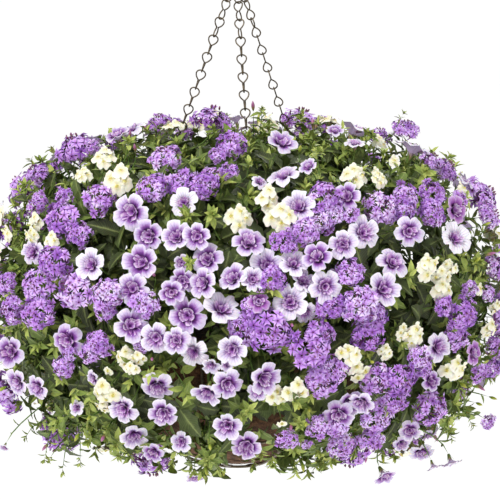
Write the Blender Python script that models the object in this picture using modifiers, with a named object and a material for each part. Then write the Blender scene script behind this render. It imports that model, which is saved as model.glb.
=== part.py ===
"""A wire hanging basket of mixed summer flowers on three chains.

Metres, +Z up, -Y towards the viewer. The origin is the point where the hook bears on its bracket.
"""

import math

import bmesh
import bpy
import numpy as np
from mathutils.bvhtree import BVHTree

# Driving dimensions, in metres.
RIM_RADIUS = 0.150
BOWL_DEPTH = 0.156
CHAIN_RISE = 0.366
GATHER_Z = -0.070
RIM_Z = GATHER_Z - CHAIN_RISE
PLANT_RADIUS = 0.290
PLANT_UP = 0.205
PLANT_DOWN = 0.176
PLANT_CENTRE = np.array((0.009, 0.0, RIM_Z + 0.020))
PLANT_SQUARENESS = 2.6

# Made parts.
GAP = 0.0003
RIM_WIRE = 0.0025
RIB_WIRE = 0.0015
RIB_COUNT = 8
RIB_ANGLES = np.radians((0.0, 24.0, 46.0, 66.0, 82.0))
RIB_SPARE = 0.0030
RIB_START = 0.31
RIM_AROUND = 24
MIDDLE_AROUND = 22
BASE_AROUND = 12
MIDDLE_OUT = 0.0012
BASE_OUT = 0.0005
BASE_SHARES = (0.15, 0.85)
HOOP_TURN = 0.37
LINER_WALL = 0.008
LIP_INNER = (0.001, 0.003)
LIP_OUTER = (0.002, 0.002)
BOWL_AROUND = 22
SOIL_BELOW_RIM = 0.012
SOIL_FOOT = math.radians(74.0)
SOIL_RINGS = 5
HOLE_DEPTH = 0.012
HOLE_SPARE = 0.0005
CHAIN_WIRE = 0.0008
LINK_PITCH = 0.0210
LINK_HALF_WIDTH = 0.0050
LINK_SUNK = CHAIN_WIRE
LINK_CORNER = 1.25 * CHAIN_WIRE
LINK_FLAT = 0.75 * CHAIN_WIRE
LEAD_LINKS = 3
STRAIGHT_LINKS = 8
CHAIN_LEANS = {"chain_left": 0.0, "chain_front": math.radians(4.0), "chain_right": 0.0}
CHAIN_AZIMUTHS = {"chain_left": 295.0, "chain_front": 170.6, "chain_right": 54.0}
EAR_HEIGHT = 0.011
EAR_HALF_WIDTH = 0.005
EAR_FOOT_HALF_WIDTH = EAR_HALF_WIDTH * 1.4
HOOK_WIRE = 0.0020
HOOK_BEND = 0.0110
HOOK_TURN = math.radians(45.0)
CROOK_ANGLES = np.radians(np.linspace(-40.0, 180.0, 11))
SHANK = ((-HOOK_BEND, -0.022), (-0.004, -0.036), (0.0, -0.042))
SHANK_SUNK = 0.001
EYE_RADIUS = 0.0105
EYE_WIRE = 0.0015
EYE_TURN = 0.11
EYE_AROUND = 14
EYE_SLOTS = {"chain_left": -0.0037, "chain_front": 0.0, "chain_right": 0.0037}

# Where the photo's pixels fall: the camera that took it, and the scale at the basket's axis.
PIXEL = 0.0011
PHOTO_CENTRE = (250.0, 250.0)
AXIS_PIXEL = 237.0
GATHER_PIXEL = -10.0
CAMERA_DISTANCE = 2.3
CAMERA_ELEVATION = math.radians(6.0)
BLOOM_PIXEL = PIXEL * 0.90
SIGHT_SHARES = np.linspace(0.80, 1.0, 400)

# Blooms read from the photo: x, y and radius in its pixels.
CALIBRACHOA = (
    (335, 130, 9), (355, 142, 11), (283, 141, 15), (283, 173, 16), (298, 208, 16), (308, 166, 9),
    (183, 202, 14), (130, 212, 18), (147, 237, 15), (176, 236, 15), (197, 238, 13), (205, 257, 15),
    (249, 241, 16), (344, 196, 13), (365, 232, 16), (410, 231, 15), (457, 209, 14), (457, 237, 16),
    (343, 245, 14), (31, 249, 13), (90, 264, 15), (140, 264, 17), (127, 287, 16), (132, 325, 17),
    (66, 341, 16), (9, 352, 16), (16, 383, 14), (36, 388, 13), (160, 339, 15), (157, 389, 16),
    (122, 410, 15), (163, 414, 14), (183, 282, 12), (201, 283, 14), (172, 292, 12), (232, 277, 14),
    (259, 301, 11), (267, 265, 15), (295, 262, 14), (316, 256, 14), (290, 302, 17), (326, 287, 16),
    (227, 312, 17), (187, 315, 17), (172, 341, 13), (192, 352, 14), (233, 348, 14), (228, 385, 15),
    (207, 394, 14), (265, 380, 16), (258, 391, 10), (394, 261, 16), (385, 289, 16), (440, 347, 15),
    (475, 353, 12), (134, 437, 14), (153, 453, 11), (181, 442, 10), (227, 427, 14), (246, 447, 15),
    (195, 479, 10), (337, 417, 15), (361, 404, 13), (410, 431, 11), (422, 454, 14), (385, 477, 12),
    (452, 465, 11),
)
VERBENA = (
    (75, 143, 12), (160, 121, 13), (165, 156, 16), (152, 186, 16), (98, 198, 16), (36, 204, 12),
    (61, 219, 18), (78, 234, 13), (231, 143, 15), (184, 182, 16), (199, 184, 15), (327, 199, 16),
    (317, 218, 14), (303, 231, 14), (285, 240, 13), (405, 128, 15), (490, 215, 15), (382, 208, 17),
    (406, 196, 14), (433, 195, 14), (433, 210, 14), (52, 262, 17), (5, 283, 12), (37, 289, 17),
    (37, 310, 17), (11, 309, 15), (75, 290, 19), (113, 292, 15), (104, 309, 12), (98, 344, 13),
    (239, 325, 16), (268, 330, 20), (311, 350, 20), (322, 381, 17), (349, 272, 14), (360, 305, 17),
    (368, 335, 16), (463, 318, 17), (458, 334, 13), (471, 288, 9), (420, 359, 12), (379, 380, 16),
    (399, 384, 16), (431, 409, 17), (396, 398, 14), (480, 374, 10), (379, 417, 16), (371, 441, 15),
    (342, 447, 13), (321, 427, 12), (287, 440, 10), (489, 422, 9),
)
CREAM = (
    (104, 156, 12), (118, 178, 14), (83, 174, 9), (31, 236, 9), (51, 240, 9), (268, 197, 12),
    (283, 214, 14), (239, 217, 13), (355, 174, 13), (379, 177, 9), (125, 357, 11), (104, 392, 14),
    (278, 395, 12), (295, 390, 13), (428, 265, 13), (442, 290, 12), (414, 335, 13), (349, 352, 12),
    (456, 368, 14), (490, 329, 10),
)
LEAVES = (
    (40, 160, 17), (24, 184, 12), (128, 140, 13), (213, 128, 12), (262, 108, 13), (300, 116, 14),
    (371, 134, 12), (425, 172, 15), (450, 156, 14), (318, 150, 12), (212, 214, 13), (12, 215, 12),
    (480, 262, 12), (60, 378, 12), (88, 442, 14), (48, 462, 13), (116, 446, 15), (249, 412, 12),
    (208, 462, 14), (324, 465, 12), (395, 458, 12), (450, 432, 12), (300, 425, 10), (190, 262, 10),
)

# The sprays, ring by ring: hole radius in the soil, angle of the hub from the vertical, and count.
RINGS = (
    ("crown", 0.030, 26.0, 4),
    ("shoulder", 0.068, 55.0, 9),
    ("rim", 0.104, 88.0, 13),
    ("skirt", 0.124, 126.0, 12),
)
# Each ring's bends between the soil and the hub: radius, and height over the rim.
STEM_BENDS = {
    "crown": ((0.045, 0.095),),
    "shoulder": ((0.1088, 0.060),),
    "rim": ((0.128, 0.024), (0.190, 0.034)),
    "skirt": ((0.142, 0.013), (0.172, 0.010), (0.198, -0.030)),
}
STEM_START = 0.006
HUB_DEPTH = 0.034
STEM_RADIUS = 0.0022
STALK_RADIUS = 0.0011
ROOT_FIRST = 0.0016
ROOT_PITCH = 0.0046
ROOT_TIP = 0.0005
STALK_PULL = 0.35
STALK_LEAST = 1.3
NORMAL_SHARE = 0.70
CAMERA_SHARE = 0.45
DEPTH_STEP = 0.618
DEPTH_MIDDLE = 0.35
DEPTH_RANGE = 0.016
BACK_TRIES = 5000
BACK_ROOM = 1.46
BACK_SEED = 4
BACK_LOW = (-110.0, -0.86, 0.0)
BACK_HIGH = (110.0, 0.99, 1.0)
BACK_SIZES = {"calibrachoa": 0.0200, "verbena": 0.0215, "cream": 0.0170, "leaf": 0.0210}
SPREAD_STEPS = 80
SPREAD_ROOM = 0.86
SPREAD_PUSH = 0.30
SPREAD_RETURN = 0.06
CLEARANCE = 0.0005
WELD = 0.000001
JOIN_WELD = 0.000008
HEAD_SHIFTS = (0.0, -0.004, 0.004, -0.008, 0.008, -0.012, -0.018, -0.025)
HEAD_SIZES = (1.0, 0.88, 0.76)
FLAT_ANGLE = math.radians(0.6)
SHARP_ANGLE = math.radians(50.0)

# For each head: sides round its stem, rings down it, the ring whose edges are cut in two, how far its
# neck lies behind its face, in radii, and the neck's own radius in metres.
HEADS = {
    "calibrachoa": (5, 4, 0, 0.95, 0.0018),
    "verbena": (4, 4, 1, 0.55, 0.0015),
    "cream": (4, 4, 1, 0.60, 0.0014),
    "leaf": (3, 4, 1, 0.50, 0.0012),
}
COLOURS = {
    "calibrachoa": (0.62, 0.42, 0.78),
    "verbena": (0.40, 0.18, 0.72),
    "cream": (0.90, 0.87, 0.66),
    "leaf": (0.10, 0.22, 0.03),
}


def clear_scene():
    for thing in list(bpy.data.objects):
        bpy.data.objects.remove(thing)


def material(name, colour, roughness, metallic=0.0):
    made = bpy.data.materials.new(name)
    made.use_nodes = True
    shader = made.node_tree.nodes["Principled BSDF"]
    shader.inputs["Base Color"].default_value = (*colour, 1.0)
    shader.inputs["Roughness"].default_value = roughness
    shader.inputs["Metallic"].default_value = metallic
    made.diffuse_color = (*colour, 1.0)
    return made


def collection(name, hidden=False):
    made = bpy.data.collections.new(name)
    made.hide_render = hidden
    bpy.context.scene.collection.children.link(made)
    return made


def solid(name, verts, faces, home, finish):
    mesh = bpy.data.meshes.new(name)
    mesh.from_pydata(verts.tolist(), [], faces)
    mesh.materials.append(finish)
    made = bpy.data.objects.new(name, mesh)
    home.objects.link(made)
    return made


def move_to(thing, home):
    """Takes an object out of its collections and puts it in this one."""
    for owner in list(thing.users_collection):
        owner.objects.unlink(thing)
    home.objects.link(thing)


def mesh_of(thing, merge_flat=False):
    """The object's mesh as the viewport evaluates it, its loose caps welded and, where it stays closed
    and that is asked for, its flats merged."""
    bpy.context.view_layer.update()
    graph = bpy.context.evaluated_depsgraph_get()
    mesh = bpy.data.meshes.new_from_object(thing.evaluated_get(graph))
    work = bmesh.new()
    work.from_mesh(mesh)
    weld = JOIN_WELD if merge_flat else WELD
    bmesh.ops.remove_doubles(work, verts=work.verts[:], dist=weld)
    if merge_flat:
        bmesh.ops.dissolve_limit(
            work, angle_limit=FLAT_ANGLE, verts=work.verts[:], edges=work.edges[:]
        )
    bmesh.ops.triangulate(work, faces=work.faces[:])
    whole = all(edge.is_manifold for edge in work.edges)
    work.to_mesh(mesh)
    work.free()
    return mesh if whole or not merge_flat else mesh_of(thing)


def arrays(mesh):
    """The mesh's points and triangles."""
    return np.array([vert.co[:] for vert in mesh.vertices]), [tuple(f.vertices) for f in mesh.polygons]


def shade_round(thing):
    """Shades a round piece smooth, but for its sharp edges."""
    thing.data.shade_smooth()
    thing.data.set_sharp_from_angle(angle=SHARP_ANGLE)


def tube(name, points, radius, home, finish, resolution=0):
    """A wire or stem along the points, as a mesh."""
    data = bpy.data.curves.new(name, "CURVE")
    data.dimensions = "3D"
    data.bevel_depth = radius
    data.bevel_resolution = resolution
    data.use_fill_caps = True
    spline = data.splines.new("POLY")
    spline.points.add(len(points) - 1)
    spline.points.foreach_set("co", [value for point in points for value in (*point, 1.0)])
    guide = bpy.data.objects.new(name + "_guide", data)
    home.objects.link(guide)
    mesh = mesh_of(guide)
    bpy.data.objects.remove(guide)
    mesh.materials.clear()
    mesh.materials.append(finish)
    made = bpy.data.objects.new(name, mesh)
    home.objects.link(made)
    return made


def turned(name, profile, steps, home, finish):
    """A closed profile at +X, given top to bottom on its outer side, turned round the Z axis."""
    count = len(profile)
    mesh = bpy.data.meshes.new(name)
    edges = [(i, i + 1) for i in range(count - 1) if profile[i][0] or profile[i + 1][0]]
    mesh.from_pydata([(r, 0.0, z) for r, z in profile], edges, [])
    mesh.materials.append(finish)
    made = bpy.data.objects.new(name, mesh)
    home.objects.link(made)
    screw = made.modifiers.new("turn", "SCREW")
    screw.steps = steps
    screw.render_steps = steps
    screw.use_merge_vertices = True
    screw.merge_threshold = 0.00001
    return made


def union(base, others):
    """Joins every object of the collection into the base, and removes the collection and its objects."""
    join = base.modifiers.new("join", "BOOLEAN")
    join.operation = "UNION"
    join.operand_type = "COLLECTION"
    join.collection = others
    join.solver = "MANIFOLD"
    mesh = mesh_of(base, merge_flat=True)
    base.modifiers.clear()
    base.data = mesh
    for thing in list(others.objects):
        bpy.data.objects.remove(thing)
    bpy.data.collections.remove(others)


def unit(vectors):
    return vectors / np.linalg.norm(vectors, axis=-1, keepdims=True)


def radial(azimuth, radius, height):
    """A point at an azimuth that is read clockwise from +Y, seen from above."""
    turn = math.radians(azimuth)
    return np.array((radius * math.sin(turn), radius * math.cos(turn), height))


def bowl_profile(inset, angles):
    """The bowl's outline, this far inside the nominal one, at these angles and then at its pole."""
    wide = RIM_RADIUS - inset
    deep = BOWL_DEPTH - inset
    return [(wide * math.cos(a), RIM_Z - deep * math.sin(a)) for a in angles] + [(0.0, RIM_Z - deep)]


def inner_angles():
    """Angles down the liner's inside, from the soil's surface, that the soil shares."""
    first = math.asin(SOIL_BELOW_RIM / (BOWL_DEPTH - LINER_WALL))
    return np.linspace(first, SOIL_FOOT, SOIL_RINGS)


def make_hook(home, finish):
    """A crook of wire with a closed eye below it, in one upright plane."""
    parts = collection("hook_pieces", hidden=True)
    crook = [(HOOK_BEND * math.cos(a), HOOK_BEND * (math.sin(a) - 1.0) + HOOK_WIRE) for a in CROOK_ANGLES]
    eye_top = GATHER_Z + 2.0 * EYE_RADIUS
    shank = [*SHANK, (0.0, eye_top - SHANK_SUNK)]
    points = [(x * math.cos(HOOK_TURN), x * math.sin(HOOK_TURN), z) for x, z in crook + shank]
    hook = tube("hanger_hook", points, HOOK_WIRE, home, finish, resolution=1)
    bpy.ops.mesh.primitive_torus_add(
        major_segments=EYE_AROUND,
        minor_segments=6,
        major_radius=EYE_RADIUS,
        minor_radius=EYE_WIRE,
        location=(0.0, 0.0, GATHER_Z + EYE_RADIUS),
        rotation=(math.pi / 2.0, EYE_TURN, HOOK_TURN),
    )
    eye = bpy.context.object
    bpy.ops.object.transform_apply(location=True, rotation=True)
    eye.data.materials.append(finish)
    move_to(eye, parts)
    union(hook, parts)
    return hook


def make_link(top, along, wide, pitch, finish):
    """One twisted link: a loop that is wide at its top bar and one, turned a quarter, at its foot."""
    deep = np.cross(along, wide)
    length = pitch + LINK_SUNK
    middle = top + along * length * 0.5
    stations = np.array((
        top - wide * LINK_HALF_WIDTH,
        top + wide * LINK_HALF_WIDTH,
        top + along * length + deep * LINK_HALF_WIDTH,
        top + along * length - deep * LINK_HALF_WIDTH,
    ))
    bpy.ops.mesh.primitive_torus_add(major_segments=4, minor_segments=3)
    made = bpy.context.object
    before = unit(stations - np.roll(stations, 1, axis=0))
    after = np.roll(before, -1, axis=0)
    bend = np.array((deep, deep, wide, wide))
    tangent = before + after
    tangent = unit(tangent - bend * (tangent * bend).sum(axis=1, keepdims=True))
    outer = unit(stations - middle)
    first = unit(outer - tangent * (outer * tangent).sum(axis=1, keepdims=True))
    second = np.cross(tangent, first)
    corner = np.radians((180.0, 300.0, 60.0))[None, :, None]
    ring = np.cos(corner) * first[:, None] + np.sin(corner) * second[:, None]
    verts = stations[:, None] + LINK_CORNER * ring
    made.data.vertices.foreach_set("co", verts.ravel())
    work = bmesh.new()
    work.from_mesh(made.data)
    bmesh.ops.triangulate(work, faces=work.faces[:], quad_method="SHORT_EDGE")
    if work.calc_volume(signed=True) < 0.0:
        bmesh.ops.reverse_faces(work, faces=work.faces[:])
    work.to_mesh(made.data)
    work.free()
    made.data.materials.append(finish)
    return made


def make_chain(name, azimuth, home, finish):
    """Links from the hook's eye down to the ear on the rim, their bars just sunk in each other."""
    below_ear = RIB_WIRE + LINK_FLAT + 2.0 * GAP
    foot = radial(azimuth, RIM_RADIUS, RIM_Z + EAR_HEIGHT - below_ear)
    slot = EYE_SLOTS[name]
    level = math.sqrt(EYE_RADIUS**2 - 2.0 * slot**2)
    lift = (EYE_WIRE + LINK_FLAT + 4.0 * GAP) * EYE_RADIUS / level
    top = np.array((slot, slot, GATHER_Z + EYE_RADIUS - level + lift))
    run = foot - top
    count = round(np.linalg.norm(run) / LINK_PITCH)
    pitch = (np.linalg.norm(run) - LINK_SUNK) / count
    along = unit(run)
    wide = np.array((0.0, 1.0, 0.0)) if name == "chain_right" else np.array((1.0, 0.0, 0.0))
    wide = unit(wide - along * (wide @ along))
    deep = np.cross(along, wide)
    # The first bar lies square across the eye, and the chain turns to its own way in a few links.
    across_eye = np.array((math.sin(HOOK_TURN), -math.cos(HOOK_TURN), 0.0))
    lead = math.atan2(across_eye @ deep, across_eye @ wide)
    lead -= math.pi * round(lead / math.pi)
    quarter = math.pi / 2.0 if name == "chain_left" else 0.0
    parts = collection(name + "_links", hidden=True)
    chain = None
    for step in range(count):
        twist = CHAIN_LEANS[name] * (step + 1) / count
        twist += lead * max(0.0, 1.0 - step / LEAD_LINKS)
        twist += quarter * max(0.0, (step - STRAIGHT_LINKS) / (count - 1 - STRAIGHT_LINKS))
        across = wide * math.cos(twist) + deep * math.sin(twist)
        one = make_link(top + along * pitch * step, along, across, pitch, finish)
        move_to(one, parts if chain else home)
        chain = chain or one
    chain.name = name
    union(chain, parts)
    return chain


def make_frame(home, finish):
    """Rim, middle and base hoops with ribs between, and an ear on the rim for each chain."""
    parts = collection("frame_pieces", hidden=True)

    def hoop(radius, height, wire, segments, sides, owner):
        bpy.ops.mesh.primitive_torus_add(
            major_segments=segments,
            minor_segments=sides,
            major_radius=radius,
            minor_radius=wire,
            location=(0.0, 0.0, height),
            rotation=(0.0, 0.0, HOOP_TURN * height),
        )
        made = bpy.context.object
        bpy.ops.object.transform_apply(location=True, rotation=True)
        made.data.materials.append(finish)
        move_to(made, owner)
        return made

    rim_radius = (RIM_RADIUS + RIM_WIRE + GAP) / math.cos(math.pi / RIM_AROUND)
    frame = hoop(rim_radius, RIM_Z, RIM_WIRE, RIM_AROUND, 4, home)
    frame.name = "basket_frame"
    rib_wide = RIM_RADIUS + RIB_SPARE
    rib_deep = BOWL_DEPTH + RIB_SPARE
    rib = [(rib_wide * math.cos(a), rib_deep * math.sin(a)) for a in RIB_ANGLES]
    middle_radius, middle_drop = rib[2]
    hoop(middle_radius + MIDDLE_OUT, RIM_Z - middle_drop, RIB_WIRE, MIDDLE_AROUND, 3, parts)
    base_radius, base_drop = BASE_SHARES[0] * np.array(rib[3]) + BASE_SHARES[1] * np.array(rib[4])
    hoop(base_radius + BASE_OUT, RIM_Z - base_drop, RIB_WIRE, BASE_AROUND, 3, parts)
    for index in range(RIB_COUNT):
        azimuth = 360.0 * (index + RIB_START) / RIB_COUNT
        route = [radial(azimuth, radius, RIM_Z - drop) for radius, drop in rib]
        tube(f"rib_{index}", route, RIB_WIRE, parts, finish)
    for azimuth in CHAIN_AZIMUTHS.values():
        tangent = radial(azimuth + 90.0, 1.0, 0.0)
        foot = radial(azimuth, RIM_RADIUS + RIM_WIRE + 2.0 * GAP, RIM_Z)
        head = radial(azimuth, RIM_RADIUS, RIM_Z + EAR_HEIGHT)
        route = [
            foot - tangent * EAR_FOOT_HALF_WIDTH,
            head - tangent * EAR_HALF_WIDTH,
            head + tangent * EAR_HALF_WIDTH,
            foot + tangent * EAR_FOOT_HALF_WIDTH,
        ]
        tube("ear", route, RIB_WIRE, parts, finish)
    union(frame, parts)
    return frame


def make_liner(home, finish):
    """A bowl of pressed fibre with a wall of even thickness."""
    outer = bowl_profile(0.0, RIB_ANGLES)
    inner = [(RIM_RADIUS - LINER_WALL, RIM_Z)] + bowl_profile(LINER_WALL, inner_angles())
    lip = [
        (RIM_RADIUS - LINER_WALL + LIP_INNER[0], RIM_Z + LIP_INNER[1]),
        (RIM_RADIUS - LIP_OUTER[0], RIM_Z + LIP_OUTER[1]),
    ]
    return turned("coco_liner", lip + outer + inner[::-1] + lip[:1], BOWL_AROUND, home, finish)


def make_soil(home, cutters, finish, holes):
    """Potting mix up to just under the rim, with a plain hole for each stem."""
    top = RIM_Z - SOIL_BELOW_RIM
    profile = [(0.0, top)] + bowl_profile(LINER_WALL + 2.0 * GAP, inner_angles())
    soil = turned("soil", profile, BOWL_AROUND, home, finish)
    wide = (STEM_RADIUS + HOLE_SPARE) * math.sqrt(2.0)
    for index, (x, y) in enumerate(holes):
        work = bmesh.new()
        bmesh.ops.create_cone(
            work, cap_ends=True, segments=4, radius1=wide, radius2=wide, depth=2.0 * HOLE_DEPTH
        )
        mesh = bpy.data.meshes.new(f"hole_{index}")
        work.to_mesh(mesh)
        work.free()
        hole = bpy.data.objects.new(f"hole_{index}", mesh)
        hole.location = (x, y, top)
        hole.rotation_euler = (0.0, 0.0, math.atan2(y, x))
        hole.display_type = "WIRE"
        hole.hide_render = True
        cutters.objects.link(hole)
    cut = soil.modifiers.new("stem_holes", "BOOLEAN")
    cut.operation = "DIFFERENCE"
    cut.operand_type = "COLLECTION"
    cut.collection = cutters
    cut.solver = "EXACT"
    return soil


def envelope(points):
    """Below 1 inside the plants' outline, above 1 outside it."""
    away = points - PLANT_CENTRE
    ring = np.hypot(away[..., 0], away[..., 1]) / PLANT_RADIUS
    rise = away[..., 2] / np.where(away[..., 2] > 0.0, PLANT_UP, PLANT_DOWN)
    return ring**PLANT_SQUARENESS + np.abs(rise) ** PLANT_SQUARENESS


def outward(points):
    """The outline's normal, by small differences."""
    step = 0.0005
    slopes = [envelope(points + step * axis) - envelope(points - step * axis) for axis in np.eye(3)]
    return unit(np.stack(slopes, axis=-1))


def on_outline(azimuth, slope):
    """The outline's point at this azimuth and angle from the vertical, seen from its centre."""
    ray = radial(azimuth, math.sin(slope), math.cos(slope))
    near = 0.1
    return PLANT_CENTRE + ray * near * envelope(PLANT_CENTRE + ray * near) ** (-1.0 / PLANT_SQUARENESS)


def seen_at(pixels):
    """The points where the photo's pixels meet the outline, and the way to the camera."""
    target = np.array((
        (PHOTO_CENTRE[0] - AXIS_PIXEL) * PIXEL,
        0.0,
        GATHER_Z - (PHOTO_CENTRE[1] - GATHER_PIXEL) * PIXEL,
    ))
    back = np.array((0.0, -math.cos(CAMERA_ELEVATION), math.sin(CAMERA_ELEVATION)))
    up = np.array((0.0, math.sin(CAMERA_ELEVATION), math.cos(CAMERA_ELEVATION)))
    camera = target + CAMERA_DISTANCE * back
    across = (pixels[:, :1] - PHOTO_CENTRE[0]) * PIXEL
    rise = (PHOTO_CENTRE[1] - pixels[:, 1:2]) * PIXEL
    aim = target + across * np.array((1.0, 0.0, 0.0)) + rise * up - camera
    along = camera + SIGHT_SHARES[None, :, None] * aim[:, None, :]
    values = envelope(along)
    inside = values < 1.0
    chosen = np.where(inside.any(axis=1), inside.argmax(axis=1), values.argmin(axis=1))
    return along[np.arange(len(pixels)), chosen], unit(-aim)


def front_heads():
    """Each bloom and leaf whorl of the photo: its kind, place, facing and radius."""
    tables = dict(zip(COLOURS, (CALIBRACHOA, VERBENA, CREAM, LEAVES)))
    kinds = [kind for kind, table in tables.items() for _ in table]
    rows = np.array([row for table in tables.values() for row in table], float)
    points, to_camera = seen_at(rows[:, :2])
    wobble = (np.arange(len(rows)) * DEPTH_STEP) % 1.0
    points = points - to_camera * (wobble[:, None] - DEPTH_MIDDLE) * DEPTH_RANGE
    facing = unit(outward(points) * NORMAL_SHARE + to_camera * CAMERA_SHARE)
    return kinds, points, facing, rows[:, 2] * BLOOM_PIXEL


def back_heads(points, radii):
    """Heads for the sides that the photo doesn't show, strewn with room round each."""
    draw = np.random.default_rng(BACK_SEED)
    kinds, places, sizes = [], list(points), list(radii)
    first = len(places)
    for _ in range(BACK_TRIES):
        azimuth, tilt, pick = draw.uniform(BACK_LOW, BACK_HIGH)
        place = on_outline(azimuth, math.acos(tilt))
        patch = math.sin(place[0] * 23.0 + 1.0) + math.sin(place[2] * 31.0) + math.cos(place[1] * 19.0)
        mixed = 0.5 + 0.22 * patch + (pick - 0.5) * 0.7
        kind = "calibrachoa" if mixed < 0.48 else "verbena"
        if pick > 0.90:
            kind = "cream"
        elif pick < 0.16:
            kind = "leaf"
        size = BACK_SIZES[kind]
        apart = np.linalg.norm(np.array(places) - place, axis=1)
        if (apart < BACK_ROOM * (np.array(sizes) + size)).any():
            continue
        kinds.append(kind)
        places.append(place)
        sizes.append(size)
    return kinds, np.array(places[first:]), np.array(sizes[first:])


def spread(points, radii):
    """Pushes heads apart where their spheres meet, and draws each gently back to where it was."""
    home = points.copy()
    for _ in range(SPREAD_STEPS):
        apart = points[:, None] - points[None]
        far = np.linalg.norm(apart, axis=2) + np.eye(len(points))
        want = SPREAD_ROOM * (radii[:, None] + radii[None])
        push = np.clip(want - far, 0.0, None) * (1.0 - np.eye(len(points)))
        points = points + SPREAD_PUSH * (apart / far[..., None] * push[..., None]).sum(axis=1)
        points = points + SPREAD_RETURN * (home - points)
    return points


def all_heads():
    """Every head of the basket: kinds, places, facings and radii."""
    kinds, points, facing, radii = front_heads()
    more_kinds, more_points, more_radii = back_heads(points, radii)
    points = np.concatenate((points, more_points))
    facing = np.concatenate((facing, outward(more_points)))
    radii = np.concatenate((radii, more_radii))
    return kinds + more_kinds, spread(points, radii), facing, radii


def pattern(around, down, cut_ring):
    """A sphere's vertices as ring number, angle round it and whether it was cut in, with its triangles."""
    work = bmesh.new()
    bmesh.ops.create_uvsphere(work, u_segments=around, v_segments=down, radius=1.0)
    whole = len(work.verts)
    if cut_ring:
        height = math.cos(math.pi * cut_ring / down)
        ring = [edge for edge in work.edges if all(abs(end.co.z - height) < 0.01 for end in edge.verts)]
        bmesh.ops.subdivide_edges(work, edges=ring, cuts=1)
    bmesh.ops.triangulate(work, faces=work.faces[:])
    work.verts.index_update()
    points = np.array([vert.co[:] for vert in work.verts])
    faces = [tuple(vert.index for vert in face.verts) for face in work.faces]
    work.free()
    ring_of = np.rint(np.arccos(np.clip(points[:, 2], -1.0, 1.0)) * down / math.pi).astype(int)
    angle = np.arctan2(points[:, 1], points[:, 0])
    return ring_of, angle, np.arange(len(points)) >= whole, faces


def head_profile(kind, ring, angle, cut):
    """Each point's distance from the head's axis and height over its face, in radii."""
    if kind == "calibrachoa":
        # Five rounded petals round a raised ruff.
        radius = np.where(ring == 1, 1.0, 0.0)
        height = np.where(ring == 1, 0.0, 0.20)
        angle = angle + math.pi / 2.0
    elif kind == "verbena":
        # A ruffled dome of florets.
        radius = np.where(ring == 1, np.where(cut, 0.90, 1.02), 0.0)
        height = np.where(ring == 1, np.where(cut, 0.10, -0.18), 0.50)
    elif kind == "cream":
        # Two lips: a short one above, three broad lobes below, round a raised palate.
        low = np.sin(angle) < 0.5
        radius = np.where(ring == 1, np.where(cut, 1.0, np.where(low, 0.78, 0.62)), 0.0)
        height = np.where(ring == 1, np.where(low, 0.05, 0.34), 0.26)
    else:
        # A whorl of pointed leaves that rise round the stem's tip.
        radius = np.where(ring == 1, np.where(cut, 0.26, 1.15), 0.0)
        height = np.where(ring == 1, np.where(cut, 0.0, 0.42), 0.16)
        angle = angle + math.pi / 6.0
    return radius, height, angle


def head_shape(kind, head, root, patterns, room=0.0):
    """A head that faces its way on a thin stalk from its root, grown all round by the room asked for."""
    place, facing, size = head
    down = HEADS[kind][1]
    ring, angle, cut, faces = patterns[kind]
    radius, height, angle = head_profile(kind, ring, angle, cut)
    neck = place - facing * HEADS[kind][3] * size
    along = unit(neck - root)
    level = unit(np.cross((0.0, 0.0, 1.0), facing))
    upright = np.cross(facing, level)
    side = unit(level - along * (level @ along))
    other = np.cross(along, side)
    in_face = np.cos(angle)[:, None] * level + np.sin(angle)[:, None] * upright
    in_stalk = np.cos(angle)[:, None] * side + np.sin(angle)[:, None] * other
    verts = place + (radius * size + room)[:, None] * in_face + (height * size + room)[:, None] * facing
    at_neck = ring == down - 2
    at_root = ring == down - 1
    verts[at_neck] = neck + (HEADS[kind][4] + room) * unit(in_face + in_stalk)[at_neck]
    verts[at_root] = root + (STALK_RADIUS + room) * in_stalk[at_root]
    verts[ring == down] = root - along * ROOT_TIP
    return verts, faces


class Crowd:
    """What stands where already, so that a new head can be kept clear of it."""

    def __init__(self):
        self.owners = []
        self.is_stem = []
        self.lows = []
        self.highs = []
        self.trees = []

    def add(self, owner, verts, faces, is_stem=False):
        self.owners.append(owner)
        self.is_stem.append(is_stem)
        self.lows.append(verts.min(axis=0))
        self.highs.append(verts.max(axis=0))
        self.trees.append(BVHTree.FromPolygons(verts.tolist(), faces))

    def meets(self, owner, verts, faces, own_too=False):
        """Whether it meets another spray or, where asked, a head of its own spray."""
        low = verts.min(axis=0)
        high = verts.max(axis=0)
        near = (np.array(self.lows) < high).all(axis=1) & (np.array(self.highs) > low).all(axis=1)
        mine = np.array(self.owners) == owner
        near &= ~mine | (own_too & ~np.array(self.is_stem))
        tree = BVHTree.FromPolygons(verts.tolist(), faces)
        return any(self.trees[index].overlap(tree) for index in np.flatnonzero(near))


def spray_layout():
    """Each spray's ring, azimuth, hole and hub. A ring is turned so that it passes the chains widest."""
    sprays = []
    chains = np.array(list(CHAIN_AZIMUTHS.values()))
    for ring, hole, slope, count in RINGS:
        pitch = 360.0 / count
        offsets = np.arange(0.0, pitch, 1.0)
        misses = np.abs((chains[None] - offsets[:, None] + pitch / 2.0) % pitch - pitch / 2.0)
        start = offsets[misses.min(axis=1).argmax()]
        for step in range(count):
            azimuth = start + step * pitch
            surface = on_outline(azimuth, math.radians(slope))
            sprays.append((ring, azimuth, hole, surface))
    return sprays


def stem_path(ring, azimuth, hole, surface):
    """From its hole in the soil, over the rim where it trails, to its end, in one upright plane."""
    soil = RIM_Z - SOIL_BELOW_RIM
    bends = [(radius, RIM_Z + rise) for radius, rise in STEM_BENDS[ring]]
    route = [(hole, soil - HOLE_DEPTH + GAP), (hole, soil + STEM_START), *bends]
    hub = surface - HUB_DEPTH * outward(surface)
    return [radial(azimuth, radius, height) for radius, height in route] + [hub]


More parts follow.
